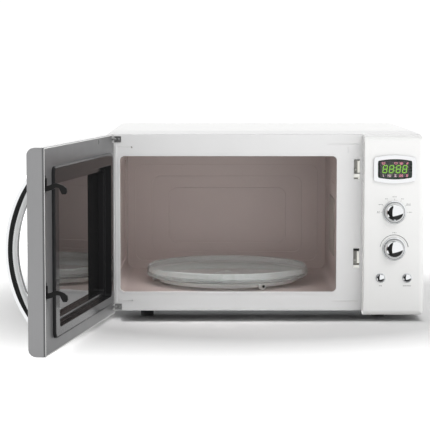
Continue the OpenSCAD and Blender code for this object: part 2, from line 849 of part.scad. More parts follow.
module latch_board() {
    wall = 2.5;
    y0 = bezel_t;
    y1 = hook_tip_y + 14;
    z0 = slot_low_z - slot_h / 2 - 8;
    z1 = slot_high_z + slot_h / 2 + 8;
    ledge_w = 10;
    color("ivory") from_front() {
        block([latch_x1 - wall, y0, z0], [latch_x1, y1, z1]);
        for (z = hook_zs)
            block([hook_x - ledge_w / 2, y0 + 4, z - hook_droop - 6],
                [latch_x1 - 1, hook_tip_y - 10, z - hook_droop - 0.8]);
        for (z = hook_zs)
            block([hook_x + switch_w / 2, switch_y + 1, z - 4 - switch_end + 1],
                [latch_x1 - 1, switch_y + switch_h - 1, z - 4 - switch_end + switch_l - 1]);
        block([hook_x + switch_w / 2, monitor_y - switch_end + 1, monitor_z - switch_h + 1],
            [latch_x1 - 1, monitor_y - switch_end + switch_l - 1, monitor_z - 1]);
        for (z = [z0, z1 - wall])
            block([hook_x - ledge_w / 2, y0, z], [latch_x1 - 1, y1, z + wall]);
    }
}

// A microswitch lying along z with its plunger, near its lower end, pointing to -y.
module switch_body(x, y, z) {
    difference() {
        block([x - switch_w / 2, y, z - switch_end], [x + switch_w / 2, y + switch_h, z - switch_end + switch_l]);
        rod_y(x, z, y - 1, y + 6, plunger_r + fit_gap);
    }
    for (u = [3, 10, 17])
        block([x - 0.4, y + switch_h, z - switch_end + u - 1.5],
            [x + 0.4, y + switch_h + 6, z - switch_end + u + 1.5]);
}

module door_switches() {
    color("darkslategray") from_front() {
        for (z = hook_zs) switch_body(hook_x, switch_y, z - 4);
        translate([hook_x, monitor_y, monitor_z]) rotate([-90, 0, 0]) switch_body(0, 0, 0);
    }
}

// The pin of a microswitch, from its free end at -y into its body.
module switch_plunger(x, y, z) {
    rod_y(x, z, y - 2.2, y + 2.6, plunger_r);
}

module upper_switch_plunger() {
    color("crimson") from_front() switch_plunger(hook_x, switch_y, hook_high_z - 4);
}

module lower_switch_plunger() {
    color("crimson") from_front() switch_plunger(hook_x, switch_y, hook_low_z - 4);
}

module monitor_switch_plunger() {
    color("crimson") from_front()
        translate([hook_x, monitor_y, monitor_z]) rotate([-90, 0, 0]) switch_plunger(0, 0, 0);
}

// ---------------------------------------------------------------- hinges

// A hinge plate at height z: a tongue that reaches out to the pin, and a screwed flange.
module hinge_plate(z, pin_up) {
    flange_x0 = pin_x + 7;
    flange_x1 = mouth_x0 + 2;
    flange_h = 9;
    color("gray") from_front() {
        block([pin_x - hinge_reach, pin_y - 0.5, z - hinge_t / 2], [pin_x + hinge_reach, 0, z + hinge_t / 2]);
        translate([pin_x, pin_y - 0.5, z - hinge_t / 2]) cylinder(h = hinge_t, r = hinge_reach);
        block([pin_x - hinge_reach, -1.5, z - hinge_t / 2], [flange_x1, 0, z + hinge_t / 2]);
        block([flange_x0, -1.5, z - flange_h / 2], [flange_x1, 0, z + flange_h / 2]);
        translate([pin_x, pin_y, pin_up > 0 ? z : z - hinge_pin_len]) cylinder(h = hinge_pin_len, r = pin_r);
    }
}

module upper_hinge_plate() hinge_plate(hinge_high_z, -1);

module lower_hinge_plate() hinge_plate(hinge_low_z, 1);

// Room in the door for a hinge plate through the whole swing, with the pin's bore.
module hinge_room(z, pin_up) {
    reach = hinge_reach + loose_gap;
    top = z + hinge_notch_h / 2;
    low = z - hinge_notch_h / 2;
    block([door_x0 - 1, pin_y - hinge_reach - 2.5, low], [pin_x + reach, 1, top]);
    translate([pin_x, pin_y, pin_up > 0 ? z : z - hinge_pin_len - 1])
        cylinder(h = hinge_pin_len + 1, r = pin_r + fit_gap);
}

module hinge_rooms() {
    hinge_room(hinge_high_z, -1);
    hinge_room(hinge_low_z, 1);
}

// ---------------------------------------------------------------- control panel

// Side profile of the panel and of the door in (y, z), with round outer edges.
module front_side(face_y, back_y, margin, edge_r) {
    rounded_outline(face_y + margin, panel_z0 + margin, back_y, front_top - margin,
        [edge_r, 0, 0, edge_r]);
}

// Barrel outline of the display: its long sides bulge.
module barrel_2d(w, h) {
    bulge = h * 0.09;
    arc_r = (w * w / 4 + bulge * bulge) / (2 * bulge);
    corner_r = h * 0.2;
    intersection() {
        soft_rect(-w / 2, -h / 2, w / 2, h / 2, corner_r);
        translate([0, h / 2 - arc_r]) circle(arc_r, $fn = 180);
        translate([0, arc_r - h / 2]) circle(arc_r, $fn = 180);
    }
}

// Places of the board's four screw posts.
module at_board_posts()
    for (z = [buttons_z - 17, display_z + 25])
        for (u = [-1, 1])
            translate([panel_x + u * 30 - 3, 0, z]) children();

module control_panel() {
    hole_d = 2 * panel_wall;
    color("white") from_front() {
        at_board_posts() {
            rod_y(0, 0, panel_inside_y - 0.5, board_y, 3);
            rod_y(0, 0, board_y - 1, board_y + board_t + 1, 1.5);
        }
        difference() {
            intersection() {
                along_x(panel_x0, panel_x1) front_side(-panel_d, 0, 0, panel_edge_r);
                along_y(-panel_d, 0) rounded_outline(panel_x0, panel_z0, panel_x1, front_top,
                    [1, panel_low_corner_r, panel_corner_r, 1]);
                along_z(panel_z0, front_top) rounded_outline(panel_x0, -panel_d, panel_x1, 0,
                    [1.5, panel_edge_r, 0, 0]);
            }
            along_y(panel_inside_y, 1) soft_rect(panel_x0 + panel_wall, panel_z0 + panel_edge_r,
                panel_x1 - panel_edge_r, front_top - panel_edge_r, 5);
            along_y(-panel_d - 1, -panel_d + hole_d)
                translate([panel_x, display_z]) barrel_2d(display_w - 9, display_h - 9);
            for (z = [selector_z, timer_z])
                rod_y(panel_x, z, -panel_d - 1, -panel_d + hole_d, knob_shaft_r + 1);
            for (u = [-1, 1])
                rod_y(panel_x + u * button_pitch / 2, buttons_z, -panel_d - 1, -panel_d + hole_d, button_r);
        }
    }
}

module display_frame() {
    proud = 3;
    color("silver") from_front() translate([panel_x, 0, display_z]) difference() {
        union() {
            along_y(-panel_d - proud, -panel_d) barrel_2d(display_w, display_h);
            along_y(-panel_d, panel_inside_y) barrel_2d(display_w - 9 - 2 * fit_gap, display_h - 9 - 2 * fit_gap);
        }
        along_y(-panel_d - proud - 1, panel_inside_y + 1) barrel_2d(display_w - 11.5, display_h - 11.5);
    }
}

module display_lens() {
    color([0.1, 0.12, 0.12, 0.6]) from_front() translate([panel_x, 0, display_z])
        along_y(-panel_d - 1.2, -panel_d - 1.2 + lens_t)
            barrel_2d(display_w - 11.5 - 2 * fit_gap, display_h - 11.5 - 2 * fit_gap);
}

module display_module() {
    color("black") from_front()
        block([panel_x - 22, panel_inside_y + 0.5, display_z - 12], [panel_x + 22, board_y, display_z + 12]);
}

module control_board() {
    color("darkgreen") from_front() difference() {
        block([panel_x0 + 8, board_y, buttons_z - 22], [panel_x1 - 14, board_y + board_t, display_z + 30]);
        at_board_posts() rod_y(0, 0, board_y - 1, board_y + 3, 1.5 + fit_gap);
    }
}

module rotary_encoders() {
    color("gray") from_front() for (z = [selector_z, timer_z]) difference() {
        union() {
            block([panel_x - 7, board_y - encoder_d, z - 7], [panel_x + 7, board_y, z + 7]);
            rod_y(panel_x, z, panel_inside_y + 1, board_y, 5);
        }
        rod_y(panel_x, z, -panel_d, board_y - 2, knob_shaft_r + fit_gap);
    }
}

module knob_rings() {
    color("silver") from_front() for (z = [selector_z, timer_z])
        translate([panel_x, -panel_d, z]) rotate([90, 0, 0])
            rotate_extrude() {
                translate([knob_r + 0.8, 0]) square([2.4, ring_proud - 1.2]);
                translate([knob_r + 2, ring_proud - 1.2]) circle(1.2);
            }
}

// A domed knob at height z, with its shaft into the encoder.
module domed_knob(z) {
    base_gap_y = 0.8;
    skirt = 5;
    dome_h = knob_d - base_gap_y - skirt;
    dome_r = (knob_r * knob_r + dome_h * dome_h) / (2 * dome_h);
    color("gainsboro") from_front() translate([panel_x, -panel_d, z]) rotate([90, 0, 0]) {
        translate([0, 0, base_gap_y]) cylinder(h = skirt, r = knob_r);
        intersection() {
            translate([0, 0, base_gap_y + skirt]) cylinder(h = dome_h + 1, r = knob_r);
            translate([0, 0, knob_d - dome_r]) sphere(dome_r);
        }
        translate([0, 0, -panel_d - board_y + 3]) cylinder(h = panel_d + board_y, r = knob_shaft_r);
    }
}

module selector_knob() domed_knob(selector_z);

module timer_knob() domed_knob(timer_z);

// A push button at x, with its stem towards the switch behind it.
module push_button(x) {
    head_r = button_r - slide_gap;
    cap_h = 2.6;
    cap_r = (head_r * head_r + cap_h * cap_h) / (2 * cap_h);
    stem_l = panel_d + board_y - 4.5;
    color("gainsboro") from_front() translate([x, -panel_d, buttons_z]) rotate([90, 0, 0]) {
        translate([0, 0, -panel_wall - 1]) cylinder(h = panel_wall + 1 + button_head_d, r = head_r);
        intersection() {
            translate([0, 0, button_head_d]) cylinder(h = cap_h + 1, r = head_r);
            translate([0, 0, button_head_d + cap_h - cap_r]) sphere(cap_r);
        }
        translate([0, 0, -stem_l]) cylinder(h = stem_l, r = 2);
        translate([0, 0, -panel_wall - 2.2]) cylinder(h = 1.4, r = button_r + 1.5);
    }
}

module left_button() push_button(panel_x - button_pitch / 2);

module right_button() push_button(panel_x + button_pitch / 2);

module button_rings() {
    color("silver") from_front() for (u = [-1, 1])
        translate([panel_x + u * button_pitch / 2, -panel_d, buttons_z]) rotate([90, 0, 0])
            rotate_extrude() {
                translate([button_r + 0.1, 0]) square([1.4, 0.7]);
                translate([button_r + 0.8, 0.7]) circle(0.7);
            }
}

module tact_switches() {
    color("black") from_front() for (u = [-1, 1])
        block([panel_x + u * button_pitch / 2 - 3, board_y - 2.9, buttons_z - 3],
            [panel_x + u * button_pitch / 2 + 3, board_y, buttons_z + 3]);
}

// ---------------------------------------------------------------- door

// The door's full thickness profile in (y, z), from its face to y1.
module door_side(y1, margin) front_side(door_face_y, y1, margin, door_edge_r - margin);

// Pads on the moulding's inner face: guides for the hook bar and a stop for its spring.
module hook_pads() {
    y0 = door_face_y + door_wall - 0.5;
    stop_z = hook_high_z + hook_end + spring_h;
    for (z = [hook_low_z + 30, hook_high_z - 30])
        block([hook_x - 3, y0, z - 6], [hook_x + 3, hook_bar_y - slide_gap, z + 6]);
    block([hook_x - 3, y0, stop_z], [hook_x + 3, door_plate_y, stop_z + 3]);
}

module door_front() {
    x1 = door_x1 - edge_trim_t;
    color("white") swung_open() {
        hook_pads();
        difference() {
            intersection() {
                along_x(door_x0, x1) door_side(door_plate_y, 0);
                along_z(door_z0, door_z1) rounded_outline(door_x0, door_face_y, x1, door_plate_y,
                    [door_corner_r, 0, 0, 0]);
            }
            along_x(pin_x + 10, x1 + 1)
                rounded_outline(door_face_y + door_wall, door_z0 + door_wall, door_plate_y + 1,
                    door_z1 - door_wall, [door_edge_r - door_wall, 0, 0, door_edge_r - door_wall]);
            along_y(door_face_y - 1, door_plate_y)
                soft_rect(front_window_x0, front_window_z0, front_window_x1, front_window_z1,
                    front_window_r);
            for (u = [-1, 1])
                rod_y(handle_x, handle_z + u * handle_foot_z, door_face_y - 1, door_face_y + 5, 2.2);
            hinge_rooms();
        }
    }
}

module door_edge_trim() {
    color("darkgray") swung_open()
        intersection() {
            along_x(door_x1 - edge_trim_t, door_x1) door_side(door_plate_y, 0);
            along_z(door_z0, door_z1) rounded_outline(door_x1 - edge_trim_t, door_face_y, door_x1,
                door_plate_y, [0, 1.5, 0, 0]);
        }
}

module door_front_glass() {
    color([0.1, 0.1, 0.1, 0.7]) swung_open()
        along_y(door_face_y + door_wall, door_face_y + door_wall + front_glass_t)
            soft_rect(front_window_x0 - front_glass_lap, front_window_z0 - front_glass_lap,
                front_window_x1 + front_glass_lap, front_window_z1 + front_glass_lap,
                front_window_r + front_glass_lap / 2);
}

// The door's inner metal frame: it closes the moulding and carries the window.
module door_inner_frame() {
    color("gray") swung_open() difference() {
        along_y(door_plate_y, door_back_y)
            soft_rect(door_x0, door_z0, door_x1, door_z1, 2);
        along_y(door_plate_y - 1, door_back_y + 1)
            window_outline(-recess_wall - slide_gap);
        for (z = hook_zs)
            block([hook_x - hook_t / 2 - 1.2, door_plate_y - 1, z - 7.5],
                [hook_x + hook_t / 2 + 1.2, door_back_y + 1, z + 12 + hook_travel]);
        hinge_rooms();
    }
}

// Outline of the window's recess, pulled in by a margin.
module window_outline(margin) {
    soft_rect(window_x0 + margin, window_z0 + margin, window_x1 - margin, window_z1 - margin, window_r);
}

// The sealing cover, with a stepped recess that leads down to the window.
module choke_cover() {
    rim = 1.5;
    color("dimgray") swung_open() difference() {
        union() {
            along_y(door_back_y, choke_face_y - 1)
                soft_rect(choke_x0, choke_z0, choke_x1, choke_z1, choke_r);
            along_y(choke_face_y - 1, choke_face_y)
                soft_rect(choke_x0 + rim, choke_z0 + rim, choke_x1 - rim, choke_z1 - rim, choke_r - rim);
            along_y(step_y - recess_wall, door_back_y + 1) window_outline(-recess_wall);
            along_y(recess_y, step_y) window_outline(recess_step - recess_wall);
        }
        along_y(step_y, choke_face_y + 1) window_outline(0);
        along_y(recess_y - 1, step_y + 1) window_outline(recess_step);
    }
}

module door_inner_glass() {
    color([0.12, 0.12, 0.12, 0.7]) swung_open()
        along_y(recess_y - glass_t, recess_y) window_outline(recess_step - recess_wall);
}

module window_screen() {
    color("black") swung_open()
        along_y(recess_y - glass_t - screen_t, recess_y - glass_t)
            window_outline(recess_step - recess_wall);
}

// Profile of the handle's bar, centred on the origin.
module handle_section() {
    soft_rect(-handle_t / 2, -handle_w / 2, handle_t / 2, handle_w / 2, handle_edge_r);
}

// A bow in a plane across the door, with its ends cut flat on the door's face.
module handle() {
    bar_r = handle_arc_r - handle_t / 2;
    centre_y = door_face_y - handle_reach + handle_arc_r;
    color("gainsboro") swung_open() {
        intersection() {
            translate([handle_x, centre_y, handle_z])
                rotate([0, 90, 0])
                    rotate([0, 0, 180 + 90 - handle_half_angle - 4])
                        rotate_extrude(angle = 2 * handle_half_angle + 8, $fn = 180)
                            translate([bar_r, 0]) handle_section();
            block([handle_x - handle_w, door_face_y - handle_reach - 1, handle_z - handle_len / 2 - 9],
                [handle_x + handle_w, door_face_y, handle_z + handle_len / 2 + 9]);
        }
        for (u = [-1, 1])
            rod_y(handle_x, handle_z + u * handle_foot_z, door_face_y - 4, door_face_y + door_wall, 2);
    }
}

// Side outline of one hook in (y, z), from the bar inside the door to the drooping tip.
module hook_outline() {
    y0 = hook_bar_y + 1;
    y1 = hook_tip_y;
    face = door_back_y;
    polygon([
        [y0, -5.5], [face + 2, -5.5], [face + 9, -3.5], [face + 14, -0.5], [face + 18, -0.5],
        [y1 - 6.5, -hook_droop], [y1 - 1.5, -hook_droop], [y1, -hook_droop + 3], [y1 - 0.5, -1.5],
        [y1 - 5, 2.5], [face + 15, 5.5], [face + 11, 5], [face + 6, 2.5], [face + 1.8, 1.5],
        [face + 1.8, 11.5], [face + 0.4, 11.5], [face + 0.4, 1.5], [y0, 1.5]
    ]);
}

module door_hook() {
    color("black") swung_open() {
        block([hook_x - hook_t / 2, hook_bar_y, hook_low_z - hook_end],
            [hook_x + hook_t / 2, hook_bar_y + hook_bar_d, hook_high_z + hook_end]);
        for (z = hook_zs)
            along_x(hook_x - hook_t / 2, hook_x + hook_t / 2) translate([0, z]) hook_outline();
    }
}

// A return spring on the hook bar's upper end, drawn as its stack of coils.
module hook_spring() {
    z0 = hook_high_z + hook_end;
    color("silver") swung_open() translate([hook_x, hook_bar_y + hook_bar_d / 2, z0])
        for (turn = [0:spring_turns - 1])
            translate([0, 0, spring_wire_r + turn * (spring_h - 2 * spring_wire_r) / (spring_turns - 1)])
                rotate_extrude($fn = 32) translate([spring_coil_r - spring_wire_r, 0]) circle(spring_wire_r, $fn = 16);
}

// ---------------------------------------------------------------- nodes

outer_cabinet();
base_plate();
rear_panel();
front_frame();
feet();
oven_cavity();
waveguide();
waveguide_cover();
magnetron();
transformer_core();
transformer_windings();
capacitor();
diode();
fan_shroud();
fan_motor();
fan_blade();
air_duct();
oven_lamp();
thermal_cutout();
turntable_motor();
turntable_coupler();
glass_tray();
roller_ring();
roller(0);  // roller_1
roller(1);  // roller_2
roller(2);  // roller_3
latch_board();
door_switches();
upper_switch_plunger();
lower_switch_plunger();
monitor_switch_plunger();
upper_hinge_plate();
lower_hinge_plate();
control_panel();
display_frame();
display_lens();
display_module();
control_board();
rotary_encoders();
knob_rings();
selector_knob();
timer_knob();
left_button();
right_button();
button_rings();
tact_switches();
noise_filter();
fuse();
cord_gland();
cabinet_screws();
door_front();
door_edge_trim();
door_inner_frame();
choke_cover();
door_front_glass();
door_inner_glass();
window_screen();
handle();
door_hook();
hook_spring();
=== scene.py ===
import json
import math

import bmesh
import bpy
from mathutils import Matrix, Vector


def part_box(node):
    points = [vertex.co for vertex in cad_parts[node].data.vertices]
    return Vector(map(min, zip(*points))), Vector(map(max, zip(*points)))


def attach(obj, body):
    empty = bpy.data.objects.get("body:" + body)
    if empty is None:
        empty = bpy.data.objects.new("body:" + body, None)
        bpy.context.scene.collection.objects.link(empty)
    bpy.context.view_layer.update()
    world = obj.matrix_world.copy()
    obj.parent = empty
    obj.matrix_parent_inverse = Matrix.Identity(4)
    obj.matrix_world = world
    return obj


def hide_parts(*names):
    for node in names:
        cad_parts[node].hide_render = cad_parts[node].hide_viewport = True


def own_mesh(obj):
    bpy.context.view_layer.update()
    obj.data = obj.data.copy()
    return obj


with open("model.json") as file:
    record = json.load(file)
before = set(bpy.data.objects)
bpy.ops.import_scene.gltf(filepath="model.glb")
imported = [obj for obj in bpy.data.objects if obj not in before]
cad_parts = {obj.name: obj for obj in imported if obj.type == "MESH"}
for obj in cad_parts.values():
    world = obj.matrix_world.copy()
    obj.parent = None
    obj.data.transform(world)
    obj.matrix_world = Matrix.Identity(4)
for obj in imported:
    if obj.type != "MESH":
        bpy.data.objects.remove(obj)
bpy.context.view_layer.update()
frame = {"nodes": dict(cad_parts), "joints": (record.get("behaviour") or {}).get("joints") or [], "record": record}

NODES = frame["nodes"]
JOINTS = {j["name"]: j for j in frame["joints"]}
SLOT_OF = {s["node"]: s["material_slot"] for s in frame["record"]["subparts"]}
COLOR_OF = {m["slot"]: tuple(m["base_color"][:3]) for m in frame["record"]["materials"]}

MM = 0.001


# ------------------------------------------------------------------ places

def middle(node):
    """The centre of a node's box."""
    low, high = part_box(node)
    return (low + high) / 2


# The door stands open at rest: TO_OPEN takes a point on the shut door to its place.
PIN = Vector(JOINTS["door_swing"]["pos_m"])
OPEN = math.radians(JOINTS["door_swing"]["range_deg"][1])
TO_OPEN = Matrix.Translation(PIN) @ Matrix.Rotation(-OPEN, 4, "Z") @ Matrix.Translation(-PIN)
TO_CLOSED = TO_OPEN.inverted()
PANEL_FACE_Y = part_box("control_panel")[0].y


# ------------------------------------------------------------------ materials

class Nodes:
    """A material's node tree, with short calls for the nodes used here."""

    def __init__(self, name):
        self.material = bpy.data.materials.new(name)
        self.material.use_nodes = True
        self.tree = self.material.node_tree
        self.tree.nodes.clear()
        self.out = self.tree.nodes.new("ShaderNodeOutputMaterial")
        self.shader = self.tree.nodes.new("ShaderNodeBsdfPrincipled")
        self.link(self.shader.outputs["BSDF"], self.out.inputs["Surface"])
        self.place = self.tree.nodes.new("ShaderNodeTexCoord").outputs["Object"]

    def link(self, a, b):
        self.tree.links.new(a, b)

    def node(self, kind, **settings):
        n = self.tree.nodes.new("ShaderNode" + kind)
        for key, value in settings.items():
            setattr(n, key, value)
        return n

    def mapped(self, scale=(1, 1, 1), turn=(0, 0, 0)):
        n = self.node("Mapping")
        n.inputs["Scale"].default_value = scale
        n.inputs["Rotation"].default_value = turn
        self.link(self.place, n.inputs["Vector"])
        return n.outputs["Vector"]

    def noise(self, scale, detail=2.0, roughness=0.5, where=None):
        n = self.node("TexNoise")
        n.inputs["Scale"].default_value = scale
        n.inputs["Detail"].default_value = detail
        n.inputs["Roughness"].default_value = roughness
        self.link(where or self.place, n.inputs["Vector"])
        return n.outputs["Fac"]

    def ramp(self, value, stops):
        n = self.node("ValToRGB")
        elements = n.color_ramp.elements
        while len(elements) < len(stops):
            elements.new(0.5)
        for element, (position, color) in zip(elements, stops):
            element.position = position
            element.color = (*color, 1)
        self.link(value, n.inputs["Fac"])
        return n.outputs["Color"]

    def span(self, value, low, high, from_low=0.0, from_high=1.0):
        n = self.node("MapRange")
        n.inputs["From Min"].default_value = from_low
        n.inputs["From Max"].default_value = from_high
        n.inputs["To Min"].default_value = low
        n.inputs["To Max"].default_value = high
        self.link(value, n.inputs["Value"])
        return n.outputs["Result"]

    def math(self, operation, a, b=None):
        n = self.node("Math", operation=operation)
        for socket, value in zip(n.inputs, (a, b)):
            if value is None:
                continue
            if isinstance(value, (int, float)):
                socket.default_value = value
            else:
                self.link(value, socket)
        return n.outputs["Value"]

    def mix(self, fac, a, b):
        """Colour a where fac is 0 and colour b where it is 1."""
        n = self.node("Mix", data_type="RGBA")
        fac_in, a_in, b_in, color_out = n.inputs[0], n.inputs[6], n.inputs[7], n.outputs[2]
        self.link(fac, fac_in)
        for socket, value in ((a_in, a), (b_in, b)):
            if isinstance(value, tuple):
                socket.default_value = (*value, 1)
            else:
                self.link(value, socket)
        return color_out

    def bump(self, height, depth, strength=1.0, under=None):
        n = self.node("Bump")
        n.inputs["Distance"].default_value = depth
        n.inputs["Strength"].default_value = strength
        self.link(height, n.inputs["Height"])
        if under is not None:
            self.link(under, n.inputs["Normal"])
        return n.outputs["Normal"]

    def soft_edges(self, radius):
        n = self.node("Bevel", samples=6)
        n.inputs["Radius"].default_value = radius
        return n.outputs["Normal"]

    def set(self, **values):
        """Sets or links the shader's inputs, named with _ for a space."""
        for key, value in values.items():
            socket = self.shader.inputs[key.replace("_", " ")]
            if isinstance(value, bpy.types.NodeSocket):
                self.link(value, socket)
            else:
                socket.default_value = (*value, 1) if isinstance(value, tuple) else value


def shade(color, factor):
    """A colour made lighter or darker, kept in range."""
    return tuple(min(1.0, c * factor) for c in color)


def moulded(name, color, rough, grain_mm=0.5, depth_mm=0.01, coat=0.0, edge_mm=0.0, drift=0.03,
            wear=0.0, gloss=0.5, lift=0.0):
    """Plastic or paint: faint clouds, fine grain, uneven gloss and softened edges.

    Drift is how far the tone wanders, wear the strength of its stains, gloss the specular level,
    and the last argument the strength of a painted glow: light from no lamp, for a part that sits in a deep
    pocket.
    """
    n = Nodes(name)
    cloud = n.noise(9.0, 3.0, 0.55)
    speck = n.noise(420.0, 2.0, 0.6)
    tone = n.ramp(cloud, [(0.3, shade(color, 1 - drift)), (0.7, shade(color, 1 + drift))])
    tone = n.mix(n.span(speck, 0.0, 0.12, 0.35, 0.75), tone, shade(color, 1 - 2.5 * drift))
    if wear:
        dust = n.noise(60.0, 6.0, 0.7)
        tone = n.mix(n.span(dust, 0.0, wear, 0.5, 0.8), tone, shade(color, 0.55))
    grain = n.noise(1 / (grain_mm * MM), 2.0, 0.5)
    under = n.soft_edges(edge_mm * MM) if edge_mm else None
    n.set(Base_Color=tone,
          Roughness=n.span(n.noise(24.0, 4.0), rough * 0.82, min(1.0, rough * 1.2)),
          Normal=n.bump(grain, depth_mm * MM, 0.6, under), Coat_Weight=coat, Coat_Roughness=0.08,
          Specular_IOR_Level=gloss)
    # Painted light: the surface glows faintly, though it is no lamp.
    if lift:
        n.set(Emission_Color=tone, Emission_Strength=lift)
    return n.material


def metal(name, color, rough, stretch=(1, 1, 1), depth_mm=0.01, drift=0.06, edge_mm=0.0):
    """Bare metal, with its rolling or brushing lines along the stretched axis."""
    n = Nodes(name)
    where = n.mapped(scale=stretch)
    lines = n.noise(260.0, 5.0, 0.6, where)
    blotch = n.noise(18.0, 4.0, 0.6)
    tone = n.ramp(blotch, [(0.3, shade(color, 1 - drift)), (0.72, shade(color, 1 + drift))])
    under = n.soft_edges(edge_mm * MM) if edge_mm else None
    n.set(Base_Color=tone, Metallic=1.0,
          Roughness=n.span(lines, rough * 0.75, min(1.0, rough * 1.3), 0.3, 0.7),
          Normal=n.bump(lines, depth_mm * MM, 0.4, under))
    return n.material


def polished(name, color, rough=0.045):
    """Chrome plating with faint smears."""
    n = Nodes(name)
    smear = n.noise(35.0, 5.0, 0.65, n.mapped(scale=(1, 1, 0.3)))
    tone = n.ramp(n.noise(12.0, 2.0), [(0.3, shade(color, 0.97)), (0.7, shade(color, 1.02))])
    n.set(Base_Color=tone, Metallic=1.0, Roughness=n.span(smear, rough, rough * 2.6, 0.45, 0.8),
          Normal=n.bump(n.noise(90.0, 2.0), 0.004 * MM, 0.5))
    return n.material


def glass(name, color, rough=0.02, ior=1.5, clear=1.0, ripple_mm=0.01, coat=0.0):
    """Glass or clear plastic, slightly rippled and smeared. Clear is how much passes through."""
    n = Nodes(name)
    tone = n.ramp(n.noise(14.0, 3.0), [(0.3, shade(color, 0.96)), (0.7, shade(color, 1.03))])
    n.set(Base_Color=tone, Roughness=n.span(n.noise(40.0, 4.0), rough, rough * 3, 0.45, 0.8),
          IOR=ior, Transmission_Weight=clear, Coat_Weight=coat,
          Normal=n.bump(n.noise(60.0, 2.0), ripple_mm * MM, 0.4))
    return n.material


def glowing(name, color, strength):
    """A lit part of the display, a little uneven as a lamp behind a diffuser is."""
    n = Nodes(name)
    tone = n.ramp(n.noise(900.0, 2.0), [(0.3, shade(color, 0.86)), (0.7, color)])
    n.set(Base_Color=(0.02, 0.02, 0.02), Roughness=0.4, Emission_Color=tone,
          Emission_Strength=strength)
    return n.material


def printed(name, color):
    """Screen-printed ink: matt and slightly broken."""
    n = Nodes(name)
    tone = n.ramp(n.noise(2600.0, 3.0), [(0.3, shade(color, 0.8)), (0.7, shade(color, 1.2))])
    n.set(Base_Color=tone, Roughness=n.span(n.noise(800.0), 0.45, 0.65))
    return n.material


def enamel(name, color):
    """The cavity's enamel: warm grey with fine speckles and an orange-peel skin."""
    n = Nodes(name)
    cloud = n.noise(5.0, 3.0, 0.5)
    tone = n.ramp(cloud, [(0.3, shade(color, 0.94)), (0.7, shade(color, 1.05))])
    fleck = n.node("TexVoronoi")
    fleck.inputs["Scale"].default_value = 520.0
    n.link(n.place, fleck.inputs["Vector"])
    spots = n.span(fleck.outputs["Distance"], 0.22, 0.0, 0.05, 0.22)
    tone = n.mix(spots, tone, shade(color, 0.55))
    peel = n.noise(330.0, 2.0, 0.5)
    n.set(Base_Color=tone, Roughness=n.span(n.noise(16.0, 4.0), 0.30, 0.46), Coat_Weight=0.15,
          Coat_Roughness=0.15, Normal=n.bump(peel, 0.05 * MM, 0.35, n.soft_edges(0.8 * MM)))
    return n.material


def perforated(name, color):
    """The window's screen: small round holes in black enamel, in rows in the door's own plane."""
    n = Nodes(name)
    flat = n.node("SeparateXYZ")
    n.link(n.mapped(turn=(0, 0, OPEN)), flat.inputs["Vector"])
    pitch, row_step = 2.1 * MM, 0.866
    u = n.math("DIVIDE", flat.outputs["X"], pitch)
    row = n.math("DIVIDE", flat.outputs["Z"], pitch * row_step)
    odd = n.math("MULTIPLY", n.math("MODULO", n.math("ABSOLUTE", n.math("FLOOR", row)), 2.0), 0.5)
    x = n.math("SUBTRACT", n.math("FRACT", n.math("ADD", u, odd)), 0.5)
    z = n.math("MULTIPLY", n.math("SUBTRACT", n.math("FRACT", row), 0.5), row_step)
    radius = n.math("SQRT", n.math("ADD", n.math("MULTIPLY", x, x), n.math("MULTIPLY", z, z)))
    solid = n.span(radius, 0.0, 1.0, 0.28, 0.34)
    tone = n.mix(solid, (0.004, 0.004, 0.004), color)
    n.set(Base_Color=tone, Roughness=n.span(solid, 0.9, 0.38), Normal=n.bump(solid, 0.3 * MM, 0.8))
    return n.material


def wound(name, color):
    """Varnished copper wire, seen as close turns."""
    n = Nodes(name)
    wave = n.node("TexWave", wave_type="BANDS", bands_direction="Z")
    wave.inputs["Scale"].default_value = 130.0
    wave.inputs["Distortion"].default_value = 0.4
    n.link(n.place, wave.inputs["Vector"])
    tone = n.ramp(wave.outputs["Fac"], [(0.1, shade(color, 0.35)), (0.7, color)])
    n.set(Base_Color=tone, Metallic=0.8, Roughness=n.span(n.noise(90.0), 0.28, 0.45),
          Normal=n.bump(wave.outputs["Fac"], 0.5 * MM, 0.8))
    return n.material


def laminated(name, color):
    """A stack of thin core plates."""
    n = Nodes(name)
    wave = n.node("TexWave", wave_type="BANDS", bands_direction="Y")
    wave.inputs["Scale"].default_value = 300.0
    n.link(n.place, wave.inputs["Vector"])
    rust = n.noise(30.0, 5.0, 0.7)
    tone = n.ramp(wave.outputs["Fac"], [(0.2, shade(color, 0.6)), (0.8, shade(color, 1.1))])
    tone = n.mix(n.span(rust, 0.0, 0.35, 0.55, 0.75), tone, (0.16, 0.09, 0.05))
    n.set(Base_Color=tone, Metallic=0.6, Roughness=n.span(rust, 0.4, 0.7),
          Normal=n.bump(wave.outputs["Fac"], 0.2 * MM, 0.7))
    return n.material


def circuit(name, color):
    """Solder mask with copper tracks showing through."""
    n = Nodes(name)
    cell = n.node("TexVoronoi", distance="MANHATTAN")
    cell.inputs["Scale"].default_value = 220.0
    cell.inputs["Randomness"].default_value = 0.35
    n.link(n.place, cell.inputs["Vector"])
    track = n.span(cell.outputs["Distance"], 0.0, 1.0, 0.40, 0.46)
    tone = n.mix(track, color, shade(color, 2.2))
    n.set(Base_Color=tone, Roughness=n.span(track, 0.25, 0.45),
          Normal=n.bump(track, 0.05 * MM, 0.6))
    return n.material


def rubber(name, color):
    """Dull rubber with a coarse skin."""
    n = Nodes(name)
    grip = n.noise(500.0, 3.0, 0.7)
    tone = n.ramp(grip, [(0.3, shade(color, 0.7)), (0.75, shade(color, 1.6))])
    n.set(Base_Color=tone, Roughness=n.span(grip, 0.7, 0.95), Normal=n.bump(grip, 0.15 * MM, 0.8))
    return n.material


MATERIALS = {}


def make(slot, recipe, color=None, factor=1.0, **values):
    """Makes a slot's material, in the record's colour unless another is given."""
    MATERIALS[slot] = recipe(slot, shade(color or COLOR_OF[slot], factor), **values)


